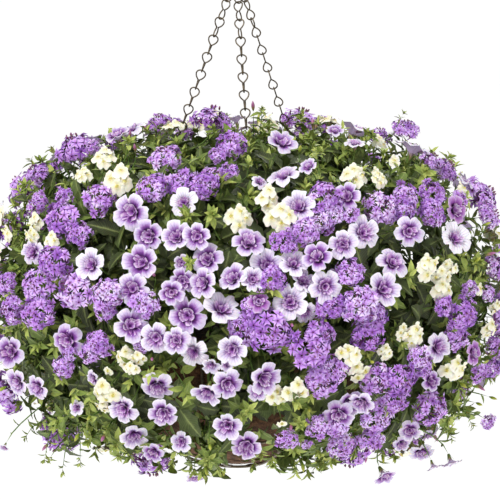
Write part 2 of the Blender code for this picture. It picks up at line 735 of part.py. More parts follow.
def head_on(place, facing, size, shift, root):
    """A head turned a little along its own stalk, and always well ahead of its root."""
    place = place + shift * facing
    facing = unit(facing + STALK_PULL * unit(place - root))
    short = max(0.0, STALK_LEAST * size - (place - root) @ facing)
    return place + short * facing, facing, size


def grow_heads(owner, members, stem_end, heads, patterns, crowd, parts, finishes):
    """Sets each head on its own stalk along the stem's last stretch, shifted until it has room."""
    kinds, points, facing, radii = heads
    start, end = stem_end
    reach = np.linalg.norm(start - end)
    order = sorted(members, key=lambda member: np.linalg.norm(points[member] - end))
    grown = {}
    for step, member in enumerate(order):
        kind = kinds[member]
        root = end + unit(start - end) * min(ROOT_FIRST + ROOT_PITCH * step, reach)
        tries = (
            (radii[member] * size, shift, own_too)
            for own_too in (True, False)
            for size in HEAD_SIZES
            for shift in HEAD_SHIFTS
        )
        for size, shift, own_too in tries:
            head = head_on(points[member], facing[member], size, shift, root)
            if not crowd.meets(owner, *head_shape(kind, head, root, patterns, CLEARANCE), own_too):
                break
        else:
            continue
        shape = head_shape(kind, head, root, patterns)
        crowd.add(owner, *shape)
        solid(f"head_{member}", *shape, parts, finishes[kind])
        grown[kind] = grown.get(kind, 0) + 1
    return grown


def make_sprays(stems, sprays, crowd, finishes):
    """Grows the heads on their stems, and names each spray for the bloom that it has most of."""
    heads = all_heads()
    points = heads[1]
    surfaces = np.array([spray[3] for spray in sprays])
    owner = np.linalg.norm(points[:, None] - surfaces[None], axis=2).argmin(axis=1)
    patterns = {kind: pattern(*HEADS[kind][:3]) for kind in HEADS}
    counts = {}
    left = len(points)
    for index, spray in enumerate(sprays):
        parts = collection(f"pieces_{index}", hidden=True)
        stem_end = stem_path(*spray)[-2:]
        members = np.flatnonzero(owner == index)
        grown = grow_heads(index, members, stem_end, heads, patterns, crowd, parts, finishes)
        left -= sum(grown.values())
        union(stems[index], parts)
        blooms = {kind: count for kind, count in grown.items() if kind != "leaf"}
        lead = max(blooms, key=blooms.get)
        counts[lead] = counts.get(lead, 0) + 1
        stems[index].name = f"{lead}_spray_{counts[lead]:02d}"
    print(len(points), "heads, of which left out:", left)


def build():
    clear_scene()
    basket = collection("flower_hanging_basket")
    cutters = collection("soil_hole_cutters", hidden=True)
    bronze = material("dark_bronze_wire", (0.045, 0.036, 0.027), 0.45, 0.9)
    coir = material("coconut_fibre", (0.070, 0.038, 0.020), 0.95)
    earth = material("potting_mix", (0.030, 0.019, 0.012), 0.98)
    leafy = material("green_stem", (0.14, 0.26, 0.05), 0.6)
    finishes = {kind: material(f"{kind}_petals", colour, 0.6) for kind, colour in COLOURS.items()}

    wires = [make_hook(basket, bronze)]
    wires += [make_chain(name, azimuth, basket, bronze) for name, azimuth in CHAIN_AZIMUTHS.items()]
    wires.append(make_frame(basket, bronze))
    fixed = [*wires, make_liner(basket, coir)]
    sprays = spray_layout()
    holes = [radial(azimuth, hole, 0.0)[:2] for _, azimuth, hole, _ in sprays]
    fixed.append(make_soil(basket, cutters, earth, holes))

    crowd = Crowd()
    for thing in fixed:
        crowd.add(-1, *arrays(mesh_of(thing)))
    stems = []
    for index, spray in enumerate(sprays):
        stem = tube(f"spray_{index}", stem_path(*spray), STEM_RADIUS, basket, leafy)
        shape = arrays(stem.data)
        if crowd.meets(index, *shape):
            print("stem", index, spray[:3], "meets something")
        crowd.add(index, *shape, is_stem=True)
        stems.append(stem)
    make_sprays(stems, sprays, crowd, finishes)
    for thing in wires + stems:
        shade_round(thing)


build()
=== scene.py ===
import math

import bpy
import numpy as np
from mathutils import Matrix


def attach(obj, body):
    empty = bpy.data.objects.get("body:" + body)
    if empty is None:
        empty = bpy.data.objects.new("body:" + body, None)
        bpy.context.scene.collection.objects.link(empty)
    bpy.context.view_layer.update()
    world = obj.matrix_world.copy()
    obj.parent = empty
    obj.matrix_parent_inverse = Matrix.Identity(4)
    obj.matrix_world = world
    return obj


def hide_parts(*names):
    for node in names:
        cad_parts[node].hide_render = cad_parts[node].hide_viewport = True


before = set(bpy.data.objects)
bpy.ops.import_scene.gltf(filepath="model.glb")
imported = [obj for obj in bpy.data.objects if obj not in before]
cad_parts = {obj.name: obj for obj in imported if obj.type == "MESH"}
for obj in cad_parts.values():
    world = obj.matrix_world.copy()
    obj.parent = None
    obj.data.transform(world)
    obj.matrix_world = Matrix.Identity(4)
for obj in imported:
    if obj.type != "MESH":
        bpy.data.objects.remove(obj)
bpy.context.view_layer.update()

fullTurn = 2.0 * math.pi

# Where things stand, in metres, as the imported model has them.
lay = dict(
    rimRadius=0.150, bowlDepth=0.156, wall=0.008, gatherZ=-0.070, rimZ=-0.436,
    plantRadius=0.290, plantUp=0.205, plantDown=0.176, squareness=2.6,
    soilBelowRim=0.012, holeDepth=0.012, hubDepth=0.034, rootPitch=0.0046, gap=0.0003, straight=0.006,
    pixel=0.0011, bloomPixel=0.00099, photoMiddle=250.0, axisPixel=237.0, gatherPixel=-10.0,
    cameraDistance=2.3, cameraElevation=math.radians(6.0), rayStart=0.80, raySteps=400,
)
plantCentre = np.array((0.009, 0.0, lay["rimZ"] + 0.020))
chainAzimuths = {"chain_left": 295.0, "chain_front": 170.6, "chain_right": 54.0}

# Blooms read from the photo: x, y and radius in its pixels.
calibrachoaSpots = (
    (335, 130, 9), (355, 142, 11), (283, 141, 15), (283, 173, 16), (298, 208, 16), (308, 166, 9),
    (183, 202, 14), (130, 212, 18), (147, 237, 15), (176, 236, 15), (197, 238, 13), (205, 257, 15),
    (249, 241, 16), (344, 196, 13), (365, 232, 16), (410, 231, 15), (457, 209, 14), (457, 237, 16),
    (343, 245, 14), (31, 249, 13), (90, 264, 15), (140, 264, 17), (127, 287, 16), (132, 325, 17),
    (66, 341, 16), (9, 352, 16), (16, 383, 14), (36, 388, 13), (160, 339, 15), (157, 389, 16),
    (122, 410, 15), (163, 414, 14), (183, 282, 12), (201, 283, 14), (172, 292, 12), (232, 277, 14),
    (259, 301, 11), (267, 265, 15), (295, 262, 14), (316, 256, 14), (290, 302, 17), (326, 287, 16),
    (227, 312, 17), (187, 315, 17), (172, 341, 13), (192, 352, 14), (233, 348, 14), (228, 385, 15),
    (207, 394, 14), (265, 380, 16), (258, 391, 10), (394, 261, 16), (385, 289, 16), (440, 347, 15),
    (475, 353, 12), (134, 437, 14), (153, 453, 11), (181, 442, 10), (227, 427, 14), (246, 447, 15),
    (195, 479, 10), (337, 417, 15), (361, 404, 13), (410, 431, 11), (422, 454, 14), (385, 477, 12),
    (452, 465, 11),
)
verbenaSpots = (
    (75, 143, 12), (160, 121, 13), (165, 156, 16), (152, 186, 16), (98, 198, 16), (36, 204, 12),
    (61, 219, 18), (78, 234, 13), (231, 143, 15), (184, 182, 16), (199, 184, 15), (327, 199, 16),
    (317, 218, 14), (303, 231, 14), (285, 240, 13), (405, 128, 15), (490, 215, 15), (382, 208, 17),
    (406, 196, 14), (433, 195, 14), (433, 210, 14), (52, 262, 17), (5, 283, 12), (37, 289, 17),
    (37, 310, 17), (11, 309, 15), (75, 290, 19), (113, 292, 15), (104, 309, 12), (98, 344, 13),
    (239, 325, 16), (268, 330, 20), (311, 350, 20), (322, 381, 17), (349, 272, 14), (360, 305, 17),
    (368, 335, 16), (463, 318, 17), (458, 334, 13), (471, 288, 9), (420, 359, 12), (379, 380, 16),
    (399, 384, 16), (431, 409, 17), (396, 398, 14), (480, 374, 10), (379, 417, 16), (371, 441, 15),
    (342, 447, 13), (321, 427, 12), (287, 440, 10), (489, 422, 9),
)
creamSpots = (
    (104, 156, 12), (118, 178, 14), (83, 174, 9), (31, 236, 9), (51, 240, 9), (268, 197, 12),
    (283, 214, 14), (239, 217, 13), (355, 174, 13), (379, 177, 9), (125, 357, 11), (104, 392, 14),
    (278, 395, 12), (295, 390, 13), (428, 265, 13), (442, 290, 12), (414, 335, 13), (349, 352, 12),
    (456, 368, 14), (490, 329, 10),
)
leafSpots = (
    (40, 160, 17), (24, 184, 12), (128, 140, 13), (213, 128, 12), (262, 108, 13), (300, 116, 14),
    (371, 134, 12), (425, 172, 15), (450, 156, 14), (318, 150, 12), (212, 214, 13), (12, 215, 12),
    (480, 262, 12), (60, 378, 12), (88, 442, 14), (48, 462, 13), (116, 446, 15), (249, 412, 12),
    (208, 462, 14), (324, 465, 12), (395, 458, 12), (450, 432, 12), (300, 425, 10), (190, 262, 10),
)
# Smaller ones between them, that only this script shows.
smallSpots = {
    "calibrachoa": (
        (260, 181, 8), (182, 263, 8), (92, 379, 8), (253, 279, 12), (304, 280, 12), (305, 313, 11),
        (211, 366, 9), (226, 366, 6), (351, 403, 13), (402, 445, 9), (434, 468, 8), (432, 381, 10),
        (334, 278, 9), (4, 448, 6), (76, 408, 8),
    ),
    "verbena": (
        (93, 146, 8), (64, 196, 9), (217, 154, 9), (228, 170, 9), (211, 174, 9), (406, 210, 12),
        (460, 199, 10), (336, 213, 10), (352, 214, 8), (144, 304, 13), (89, 354, 10), (69, 354, 8),
        (63, 368, 11), (141, 345, 8), (273, 278, 13), (327, 305, 13), (249, 307, 8), (322, 335, 14),
        (333, 370, 14), (376, 316, 12), (336, 305, 12), (444, 306, 10), (490, 294, 8), (424, 370, 9),
        (493, 368, 10), (495, 344, 8), (338, 431, 10), (307, 445, 5),
    ),
    "cream": (
        (35, 220, 10), (6, 232, 9), (376, 172, 7), (394, 160, 7), (138, 358, 8), (108, 370, 6),
        (131, 368, 8), (103, 406, 8), (442, 276, 10), (450, 266, 8), (403, 332, 8), (357, 369, 13),
        (386, 352, 8), (480, 288, 7), (496, 306, 8), (282, 423, 6),
    ),
    "pinkBud": (
        (253, 106, 6), (130, 134, 5), (135, 148, 5), (154, 275, 5), (152, 359, 5), (103, 438, 6),
        (292, 325, 5), (291, 427, 5), (45, 447, 5),
    ),
    "greenBud": (
        (240, 195, 5), (300, 149, 5), (477, 260, 6), (372, 362, 5), (463, 385, 6), (479, 404, 5),
        (493, 398, 5), (298, 407, 6), (309, 410, 5), (306, 424, 5), (77, 437, 6), (89, 418, 5),
        (210, 447, 5), (206, 471, 5), (224, 472, 5), (303, 467, 6), (383, 459, 5),
    ),
}
# Blooms of a colour of their own: the pixels where they are, and their tone.
ownTones = ((((183, 202), (457, 237), (192, 352)), 1.7), (((457, 209), (475, 353), (259, 301)), -1.0))
# Rings of stems, from the crown through shoulder and rim to the skirt: the holes' radius, the ends' angle
# from the vertical, how many, and the points passed on the way as (radius, height over the rim).
rings = (
    (0.030, 26.0, 4, ((0.030 * 1.5, 0.095),)),
    (0.068, 55.0, 9, ((0.068 * 1.6, 0.060),)),
    (0.104, 88.0, 13, ((0.128, 0.024), (0.190, 0.034))),
    (0.124, 126.0, 12, ((0.142, 0.013), (0.172, 0.010), (0.198, -0.030))),
)
# The model's heads: how they stand off the outline and face, how they part, and what grows on unseen sides.
headSet = dict(
    wobble=0.618, nearer=0.35, depth=0.016, outShare=0.7, cameraShare=0.45,
    pushes=80, room=0.86, push=0.3, pull=0.06, seed=4, tries=5000, backRoom=1.46,
    least=(-110.0, -0.86, 0.0), most=(110.0, 0.99, 1.0), patchShare=0.22, pickShare=0.7,
    calibrachoaBelow=0.48, creamOver=0.90, leafUnder=0.16,
    radius=dict(calibrachoa=0.0200, verbena=0.0215, cream=0.0170, leaf=0.0210),
)


# Vectors over their length.
def unit(vectors):
    return vectors / np.maximum(np.linalg.norm(vectors, axis=-1, keepdims=True), 1e-12)


# A point at an azimuth read clockwise from +Y, seen from above: (r sin a, r cos a, h).
def radial(azimuth, radius, height):
    turn = math.radians(azimuth)
    return np.array((radius * math.sin(turn), radius * math.cos(turn), height))


# Below 1 inside the plants' outline: (r / R)^s + (z / H)^s.
def envelope(points):
    away = points - plantCentre
    ring = np.hypot(away[..., 0], away[..., 1]) / lay["plantRadius"]
    rise = away[..., 2] / np.where(away[..., 2] > 0.0, lay["plantUp"], lay["plantDown"])
    return ring ** lay["squareness"] + np.abs(rise) ** lay["squareness"]


# The outline's normal, by small differences.
def outward(points):
    step = 0.0005
    slopes = [envelope(points + step * axis) - envelope(points - step * axis) for axis in np.eye(3)]
    return unit(np.stack(slopes, axis=-1))


# The outline's point at this azimuth and angle from the vertical: a near one over its own envelope^(1 / s).
def onOutline(azimuth, slope):
    ray = radial(azimuth, math.sin(slope), math.cos(slope))
    near = 0.1
    return plantCentre + ray * near * envelope(plantCentre + ray * near) ** (-1.0 / lay["squareness"])


# The point that the middle of the photo looks at: pixels off the axis and below the hook, times their size.
def photoTarget():
    middle = lay["photoMiddle"]
    across = (middle - lay["axisPixel"]) * lay["pixel"]
    return np.array((across, 0.0, lay["gatherZ"] - (middle - lay["gatherPixel"]) * lay["pixel"]))


# The camera's place: back from that point along a way raised by its elevation.
def cameraSpot():
    tilt = lay["cameraElevation"]
    return photoTarget() + lay["cameraDistance"] * np.array((0.0, -math.cos(tilt), math.sin(tilt)))


# Where rays from the camera through the photo's pixels meet the outline, and the way back to it. A ray that
# passes outside gives its point of the least envelope.
def seenAt(pixels):
    tilt, camera = lay["cameraElevation"], cameraSpot()
    up = np.array((0.0, math.sin(tilt), math.cos(tilt)))
    across = (pixels[:, :1] - lay["photoMiddle"]) * lay["pixel"]
    rise = (lay["photoMiddle"] - pixels[:, 1:2]) * lay["pixel"]
    aim = photoTarget() + across * np.array((1.0, 0.0, 0.0)) + rise * up - camera
    along = camera + np.linspace(lay["rayStart"], 1.0, lay["raySteps"])[None, :, None] * aim[:, None, :]
    values = envelope(along)
    inside = values < 1.0
    chosen = np.where(inside.any(axis=1), inside.argmax(axis=1), values.argmin(axis=1))
    return along[np.arange(len(pixels)), chosen], unit(-aim)


# Pushes heads apart by a share of what their spheres overlap, and draws each back by a share of its way.
def spread(points, radii):
    home = points.copy()
    for _ in range(headSet["pushes"]):
        apart = points[:, None] - points[None]
        far = np.linalg.norm(apart, axis=2) + np.eye(len(points))
        push = np.clip(headSet["room"] * (radii[:, None] + radii[None]) - far, 0.0, None)
        push *= 1.0 - np.eye(len(points))
        points = points + headSet["push"] * (apart / far[..., None] * push[..., None]).sum(axis=1)
        points = points + headSet["pull"] * (home - points)
    return points


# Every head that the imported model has: kind, place, facing, radius and pixel, by the same rule. Unseen sides
# get a kind by sines of the place and a draw, where no other head is nearer than a share of both radii.
def headsOfModel():
    size = headSet
    tables = dict(calibrachoa=calibrachoaSpots, verbena=verbenaSpots, cream=creamSpots, leaf=leafSpots)
    kinds = [kind for kind, table in tables.items() for _ in table]
    rows = np.array([row for table in tables.values() for row in table], float)
    points, toCamera = seenAt(rows[:, :2])
    wobble = (np.arange(len(rows)) * size["wobble"]) % 1.0
    points = points - toCamera * (wobble[:, None] - size["nearer"]) * size["depth"]
    facing = unit(outward(points) * size["outShare"] + toCamera * size["cameraShare"])
    places, radii = list(points), list(rows[:, 2] * lay["bloomPixel"])
    draw = np.random.default_rng(size["seed"])
    for _ in range(size["tries"]):
        azimuth, level, pick = draw.uniform(size["least"], size["most"])
        spot = onOutline(azimuth, math.acos(level))
        patch = math.sin(spot[0] * 23.0 + 1.0) + math.sin(spot[2] * 31.0) + math.cos(spot[1] * 19.0)
        mixed = 0.5 + size["patchShare"] * patch + (pick - 0.5) * size["pickShare"]
        kind = "calibrachoa" if mixed < size["calibrachoaBelow"] else "verbena"
        if pick > size["creamOver"]:
            kind = "cream"
        elif pick < size["leafUnder"]:
            kind = "leaf"
        radius = size["radius"][kind]
        apart = np.linalg.norm(np.array(places) - spot, axis=1)
        if (apart >= size["backRoom"] * (np.array(radii) + radius)).all():
            kinds.append(kind)
            places.append(spot)
            radii.append(radius)
    places, radii = np.array(places), np.array(radii)
    facing = np.concatenate((facing, outward(places[len(facing):])))
    pixels = np.concatenate((rows[:, :2], np.zeros((len(places) - len(rows), 2))))
    return np.array(kinds), spread(places, radii), facing, radii, pixels


# Each spray's bends, azimuth, hole radius and end on the outline. A ring starts where it best misses chains.
def sprayLayout():
    sprays = []
    chains = np.array(list(chainAzimuths.values()))
    for hole, slope, count, bends in rings:
        pitch = 360.0 / count
        offsets = np.arange(0.0, pitch, 1.0)
        misses = np.abs((chains[None] - offsets[:, None] + pitch / 2.0) % pitch - pitch / 2.0)
        start = offsets[misses.min(axis=1).argmax()]
        for step in range(count):
            azimuth = start + step * pitch
            sprays.append((bends, azimuth, hole, onOutline(azimuth, math.radians(slope))))
    return sprays


# A stem's points: straight up from its hole in the soil, past its bends, to its hub below the outline.
def stemRoute(bends, azimuth, hole, surface):
    soil = lay["rimZ"] - lay["soilBelowRim"]
    route = [(hole, soil - lay["holeDepth"] + lay["gap"]), (hole, soil + lay["straight"])]
    route += [(radius, lay["rimZ"] + rise) for radius, rise in bends]
    hub = surface - lay["hubDepth"] * outward(surface)
    return np.array([radial(azimuth, radius, height) for radius, height in route] + [hub])


# Shapes as whole arrays. First, turns spaced evenly round a circle.
def turns(count):
    return np.linspace(0.0, fullTurn, count, endpoint=False)


# Points at a radius and turn about the z axis: (r cos a, r sin a, h).
def polar(radius, turn, height):
    return np.stack(np.broadcast_arrays(radius * np.cos(turn), radius * np.sin(turn), height), axis=-1)


# Triangles between the points of a grid, row by row, joined round where columns wrap or rows close.
def gridFaces(rows, columns, wrap=False, flip=False, closed=False):
    row, column = np.meshgrid(np.arange(rows if closed else rows - 1),
                              np.arange(columns if wrap else columns - 1), indexing="ij")
    row, column = row.ravel(), column.ravel()
    after, beside = (row + 1) % rows * columns, (column + 1) % columns
    here = row * columns
    faces = np.concatenate((np.stack((here + column, here + beside, after + beside), 1),
                            np.stack((here + column, after + beside, after + column), 1)))
    return faces[:, ::-1] if flip else faces


# A grid of points as a shape: (points, faces, along, across), with s along its rows and x across them.
def sheet(points, s, x, wrap=False, flip=True):
    return (points.reshape(-1, 3), gridFaces(s.size, x.size, wrap, flip),
            np.repeat(s.ravel(), x.size), np.tile(x.ravel(), s.size))


# Several shapes as one, the faces of each counted on from the points before it.
def joined(*shapes):
    starts = np.cumsum([0] + [len(shape[0]) for shape in shapes])
    faces = [shape[1] + start for shape, start in zip(shapes, starts)]
    points, along, across = ([shape[index] for shape in shapes] for index in (0, 2, 3))
    return tuple(np.concatenate(values) for values in (points, faces, along, across))


# A Catmull-Rom curve through the points (..., k, 3), read at even steps of its parameter.
def smoothRoute(points, stations):
    points = np.asarray(points, float)
    ends = np.concatenate((2 * points[..., :1, :] - points[..., 1:2, :], points,
                           2 * points[..., -1:, :] - points[..., -2:-1, :]), axis=-2)
    at = np.linspace(0.0, points.shape[-2] - 1 - 1e-9, stations)
    low = at.astype(int)
    t = (at - low)[:, None]
    p0, p1, p2, p3 = (ends[..., low + k, :] for k in range(4))
    return 0.5 * (2 * p1 + (p2 - p0) * t + (2 * p0 - 5 * p1 + 4 * p2 - p3) * t ** 2
                  + (3 * p1 - p0 - 3 * p2 + p3) * t ** 3)


# Round wires or stems: rings of points square to each route. Routes (h, k, 3), radii (h, k) or (k,).
def tubes(routes, radii, sides, closed=False):
    routes = np.asarray(routes, float)
    if closed:
        tangent = unit(np.roll(routes, -1, axis=1) - np.roll(routes, 1, axis=1))
    else:
        tangent = unit(np.gradient(routes, axis=1))
    axis = np.where(np.abs(tangent[:, :1, 2:3]) < 0.8, (0.0, 0.0, 1.0), (0.31, 0.95, 0.05))
    side = unit(np.cross(tangent, axis))
    other = np.cross(tangent, side)
    turn = turns(sides)
    ring = np.cos(turn)[:, None] * side[:, :, None] + np.sin(turn)[:, None] * other[:, :, None]
    radii = np.broadcast_to(np.asarray(radii, float), routes.shape[:2])
    points = routes[:, :, None] + radii[:, :, None, None] * ring
    count = routes.shape[1]
    return (points.reshape(len(routes), -1, 3), gridFaces(count, sides, wrap=True, closed=closed),
            np.repeat(np.linspace(0.0, 1.0, count), sides), np.tile(np.cos(turn), count))


# Radii that close to a point at both ends.
def capped(radii):
    radii = np.array(radii, float)
    radii[..., 0] = radii[..., -1] = 0.00002
    return radii


# Surfaces collected for one mesh, which has its own values along, across and tone.
class Bunch:
    def __init__(self, skins):
        self.skins = skins
        self.parts = []
        self.count = 0

    # Adds copies of one shape: points (h, n, 3) or (n, 3), tone (h,) or one number.
    def add(self, skin, points, faces, along, across, tone):
        points = np.asarray(points, float)
        if points.ndim == 2:
            points = points[None]
        copies, each = points.shape[:2]
        if not copies:
            return
        shift = self.count + np.arange(copies)[:, None, None] * each
        tone = np.broadcast_to(np.asarray(tone, float), (copies,))
        self.parts.append((
            points.reshape(-1, 3), (faces[None] + shift).reshape(-1, 3), self.skins.index(skin),
            np.tile(along, copies), np.tile(across, copies), np.repeat(tone, each),
        ))
        self.count += copies * each

    # Adds a shape placed at each of the places.
    def strew(self, skin, shape, places, axes, sizes, tone, cup=None):
        self.add(skin, placed(shape[0], places, axes, sizes, cup), *shape[1:], tone)

    # Makes the piece, which stands for the node and rides on the body.
    def make(self, node, name=None):
        words = node.split("_")
        name = name or words[0] + "".join(word.capitalize() for word in words[1:])
        points, faces = (np.concatenate([part[index] for part in self.parts]) for index in (0, 1))
        slots = np.concatenate([np.full(len(part[1]), part[2]) for part in self.parts])
        mesh = bpy.data.meshes.new(name)
        mesh.vertices.add(len(points))
        mesh.vertices.foreach_set("co", points.ravel())
        mesh.loops.add(len(faces) * 3)
        mesh.loops.foreach_set("vertex_index", faces.ravel().astype(np.int32))
        mesh.polygons.add(len(faces))
        mesh.polygons.foreach_set("loop_start", np.arange(0, len(faces) * 3, 3, dtype=np.int32))
        mesh.polygons.foreach_set("material_index", slots.astype(np.int32))
        mesh.polygons.foreach_set("use_smooth", np.full(len(faces), True))
        for index, label in enumerate(("along", "across", "tone")):
            values = np.concatenate([part[3 + index] for part in self.parts])
            mesh.attributes.new(label, "FLOAT", "POINT").data.foreach_set("value", values)
        for skin in self.skins:
            mesh.materials.append(skin)
        mesh.update()
        mesh.validate()
        made = bpy.data.objects.new(name, mesh)
        bpy.context.scene.collection.objects.link(made)
        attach(made, "root")
        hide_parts(node)


# Axes whose third looks along facing and whose second lies nearest to up, turned in their own plane.
def frames(facing, up=(0.0, 0.0, 1.0), turn=0.0):
    third = unit(facing)
    first = unit(np.cross(np.broadcast_to(up, third.shape), third))
    second = np.cross(third, first)
    turn = np.broadcast_to(turn, third.shape[:-1])[..., None]
    return np.stack((first * np.cos(turn) + second * np.sin(turn),
                     second * np.cos(turn) - first * np.sin(turn), third), axis=-1)


# Local vectors (h, n, 3), or (n, 3) for all, as each of the axes (h, 3, 3) carries them.
def carried(axes, local):
    return np.einsum("hij,hnj->hni" if local.ndim == 3 else "hij,nj->hni", axes, local)


# Copies of unit points at places, on axes, sized (h,) or (h, 3), cupped by cup * r^2.
def placed(points, places, axes, sizes, cup=None):
    sizes = np.asarray(sizes, float)
    sizes = sizes[:, None] if sizes.ndim == 1 else sizes
    local = np.repeat(points[None], len(places), axis=0)
    if cup is not None:
        local[..., 2] += cup[:, None] * (points[:, :2] ** 2).sum(axis=1)[None]
    return places[:, None] + carried(axes, local * sizes[:, None])


# A turned form about its z axis: profile gives (radius, height) for each share 0 to 1.
def roundForm(rows, sides, profile, flip=False):
    share, turn = np.linspace(0.0, 1.0, rows), turns(sides)
    radius, height = profile(share)
    return sheet(polar(radius[:, None], turn, height[:, None]), share, np.cos(turn), True, flip)


# One petal's points from out, across and up, turned to its place about the z axis.
def petalAt(turn, out, span, lift):
    x, y = out * math.cos(turn) - span * math.sin(turn), out * math.sin(turn) + span * math.cos(turn)
    return np.stack(np.broadcast_arrays(x, y, lift), axis=-1)


# Calibrachoa: a funnel of five petals with a ruffled rosette in its throat. A ruff is its petals' count,
# length, half width and rise.
calibrachoaSet = dict(
    columns=40, rows=6, throat=0.12, depth=0.48, notch=0.28, curl=0.12, variants=7, seed=40,
    reach=(-0.09, 0.04), sway=(-0.16, 0.13), scallop=0.022, ragged=0.020, ripple=0.06, groove=-0.04,
    fold=0.07, ruffs=((6, 0.60, 0.19, 0.60), (5, 0.40, 0.14, 1.00)), ruffDepth=0.42,
    turn=0.7, cups=(-0.16, 0.24),
)


# Polar sheet: radius to edge(angle) with notches between petals, height -depth (1 - s)^2.2, with a groove
# down each petal's middle, a fold at its sides and waves that grow by s^3.
def funnel(draw):
    size = calibrachoaSet
    s = np.linspace(0.0, 1.0, size["rows"])[:, None]
    angle = turns(size["columns"])[None] + math.pi / 2.0
    phase = (5.0 * (angle - math.pi / 2.0) + math.pi) % fullTurn - math.pi
    x = phase / math.pi
    owner = np.round((angle - math.pi / 2.0) / (fullTurn / 5.0)).astype(int) % 5
    reach = 1.0 + draw.uniform(*size["reach"], 5)[owner]
    edge = reach - size["notch"] * np.abs(x) ** 4.5
    edge = edge + size["scallop"] * np.sin(3.0 * phase + draw.uniform(0, 6))
    edge = edge + size["ragged"] * np.sin(11.0 * angle + draw.uniform(0, 6))
    radius = size["throat"] + (edge - size["throat"]) * s
    wave = draw.uniform(*size["sway"], 5)[owner] * (1.0 - 0.7 * x ** 2)
    wave = wave + size["ripple"] * np.sin(7.0 * angle + draw.uniform(0, 6))
    height = -size["depth"] * (1.0 - s) ** 2.2 - size["curl"] * s ** 6 + wave * s ** 3
    height = height + size["groove"] * np.exp(-(x / 0.14) ** 2) * s + size["fold"] * np.abs(x) ** 3 * s
    return sheet(polar(radius, angle, height), s, x, wrap=True)


# Small cupped petals in a ring, each leaning out from the middle: half width by sin(pi (0.12 + 0.62 s)).
def petaloids(draw, count, length, wide, rise, start):
    shapes = []
    s, x = np.linspace(0.0, 1.0, 4)[:, None], np.linspace(-1.0, 1.0, 4)[None]
    for step in range(count):
        turn = fullTurn * (step + draw.uniform(-0.2, 0.2)) / count + start
        long = length * draw.uniform(0.8, 1.15)
        lean = rise + draw.uniform(-0.25, 0.25)
        span = wide * (0.25 + 0.75 * np.sin(math.pi * (0.12 + 0.62 * s))) * x
        out = long * (s - 0.10 * s * x ** 2) * math.cos(lean)
        lift = long * s * math.sin(lean) + 0.10 * x ** 2 * s + 0.05 * s * np.sin(4.0 * x + step)
        shapes.append(sheet(petalAt(turn, out, span, lift - calibrachoaSet["ruffDepth"]), s, x))
    return joined(*shapes)


# A bloom's funnel, its two ruffs in one another, and the narrowing tube behind.
def calibrachoaShapes(seed):
    draw = np.random.default_rng(seed)
    ruff = joined(*[petaloids(draw, *ruff, draw.uniform(0.0, 1.2)) for ruff in calibrachoaSet["ruffs"]])
    tube = roundForm(4, 10, lambda s: (0.17 - 0.09 * s, -0.40 - 0.58 * s), flip=True)
    return funnel(draw), ruff, tube


# Narrow pointed leaves that lie forward round a neck: out by s^1.4, half width by (1 - s)^0.7.
def sepals(count, length, wide, back):
    shapes = []
    s, x = np.linspace(0.0, 1.0, 3)[:, None], np.array((-1.0, 0.0, 1.0))[None]
    for step in range(count):
        out, span = 0.09 + length * 0.42 * s ** 1.4, wide * (1.0 - s) ** 0.7 * x
        lift = back + length * s + 0.03 * np.abs(x)
        shapes.append(sheet(petalAt(fullTurn * step / count, out, span, lift), s, x))
    return joined(*shapes)


# Verbena: a dome of notched five-petalled florets round a knot of buds. A head of at least a radius has
# so many florets, of reach times its radius over the root of their count.
verbenaSet = dict(wide=0.80, high=0.56, sink=-0.18, buds=6, dome=math.radians(108.0), knot=math.radians(30.0),
                  florets=((0.0, 11), (0.0095, 17), (0.0130, 27)), reach=1.72, jitter=0.10, tilt=0.50,
                  far=(0.78, 1.22), grow=(0.8, 1.15), cups=(-0.25, 0.2), toneSway=0.35,
                  knotWide=0.62, knotOver=0.10, knotUp=0.05, bud=(0.15, 0.15, 0.085))


# Five petals of three by three points, the middle of each tip drawn in, on a three-sided tube.
def floretShape():
    shapes = []
    s, x = np.array((0.12, 0.58, 1.0))[:, None], np.array((-1.0, 0.0, 1.0))[None]
    half = np.array((0.42, 0.39, 0.34))[:, None] * x
    for step in range(5):
        reach = s * (1.0 - 0.30 * (1.0 - np.abs(x)) * (s > 0.9)) * (1.0 - 0.10 * (step % 2))
        lift = (0.16 * (step % 3) - 0.26) * s ** 2 + 0.14 * s * (1.0 - np.abs(x))
        shapes.append(sheet(polar(reach, fullTurn * step / 5.0 + half * 1.35, lift), s, x))
    points, faces, along, across = roundForm(2, 3, lambda s: (0.16 - 0.04 * s, 0.02 - 1.5 * s), flip=True)
    return joined(*shapes, (points, faces, along * 0.1, across))


# Directions spread evenly over a cap by the golden angle.
def domeSpots(count, widest):
    share = (np.arange(count) + 0.5) / count
    height = 1.0 - share * (1.0 - math.cos(widest))
    return polar(np.sqrt(1.0 - height ** 2), np.arange(count) * 2.39996, height)


# Cream two-lipped blooms.
creamSet = dict(columns=32, rows=6, throat=0.03, lobe=0.46, lower=0.56, upper=0.20, cleft=0.24, ragged=0.045,
                hood=0.30, chin=-0.12, palate=0.30, pit=-0.16, ripple=0.09, large=0.0085, ofLarge=0.68,
                calyx=0.62, spread=0.08, turn=0.3, cups=(-0.25, 0.05),
                cluster=((0.0, 0.42, 0.10), (-0.46, 0.0, 0.0), (0.46, -0.04, 0.04), (0.02, -0.48, -0.06)))


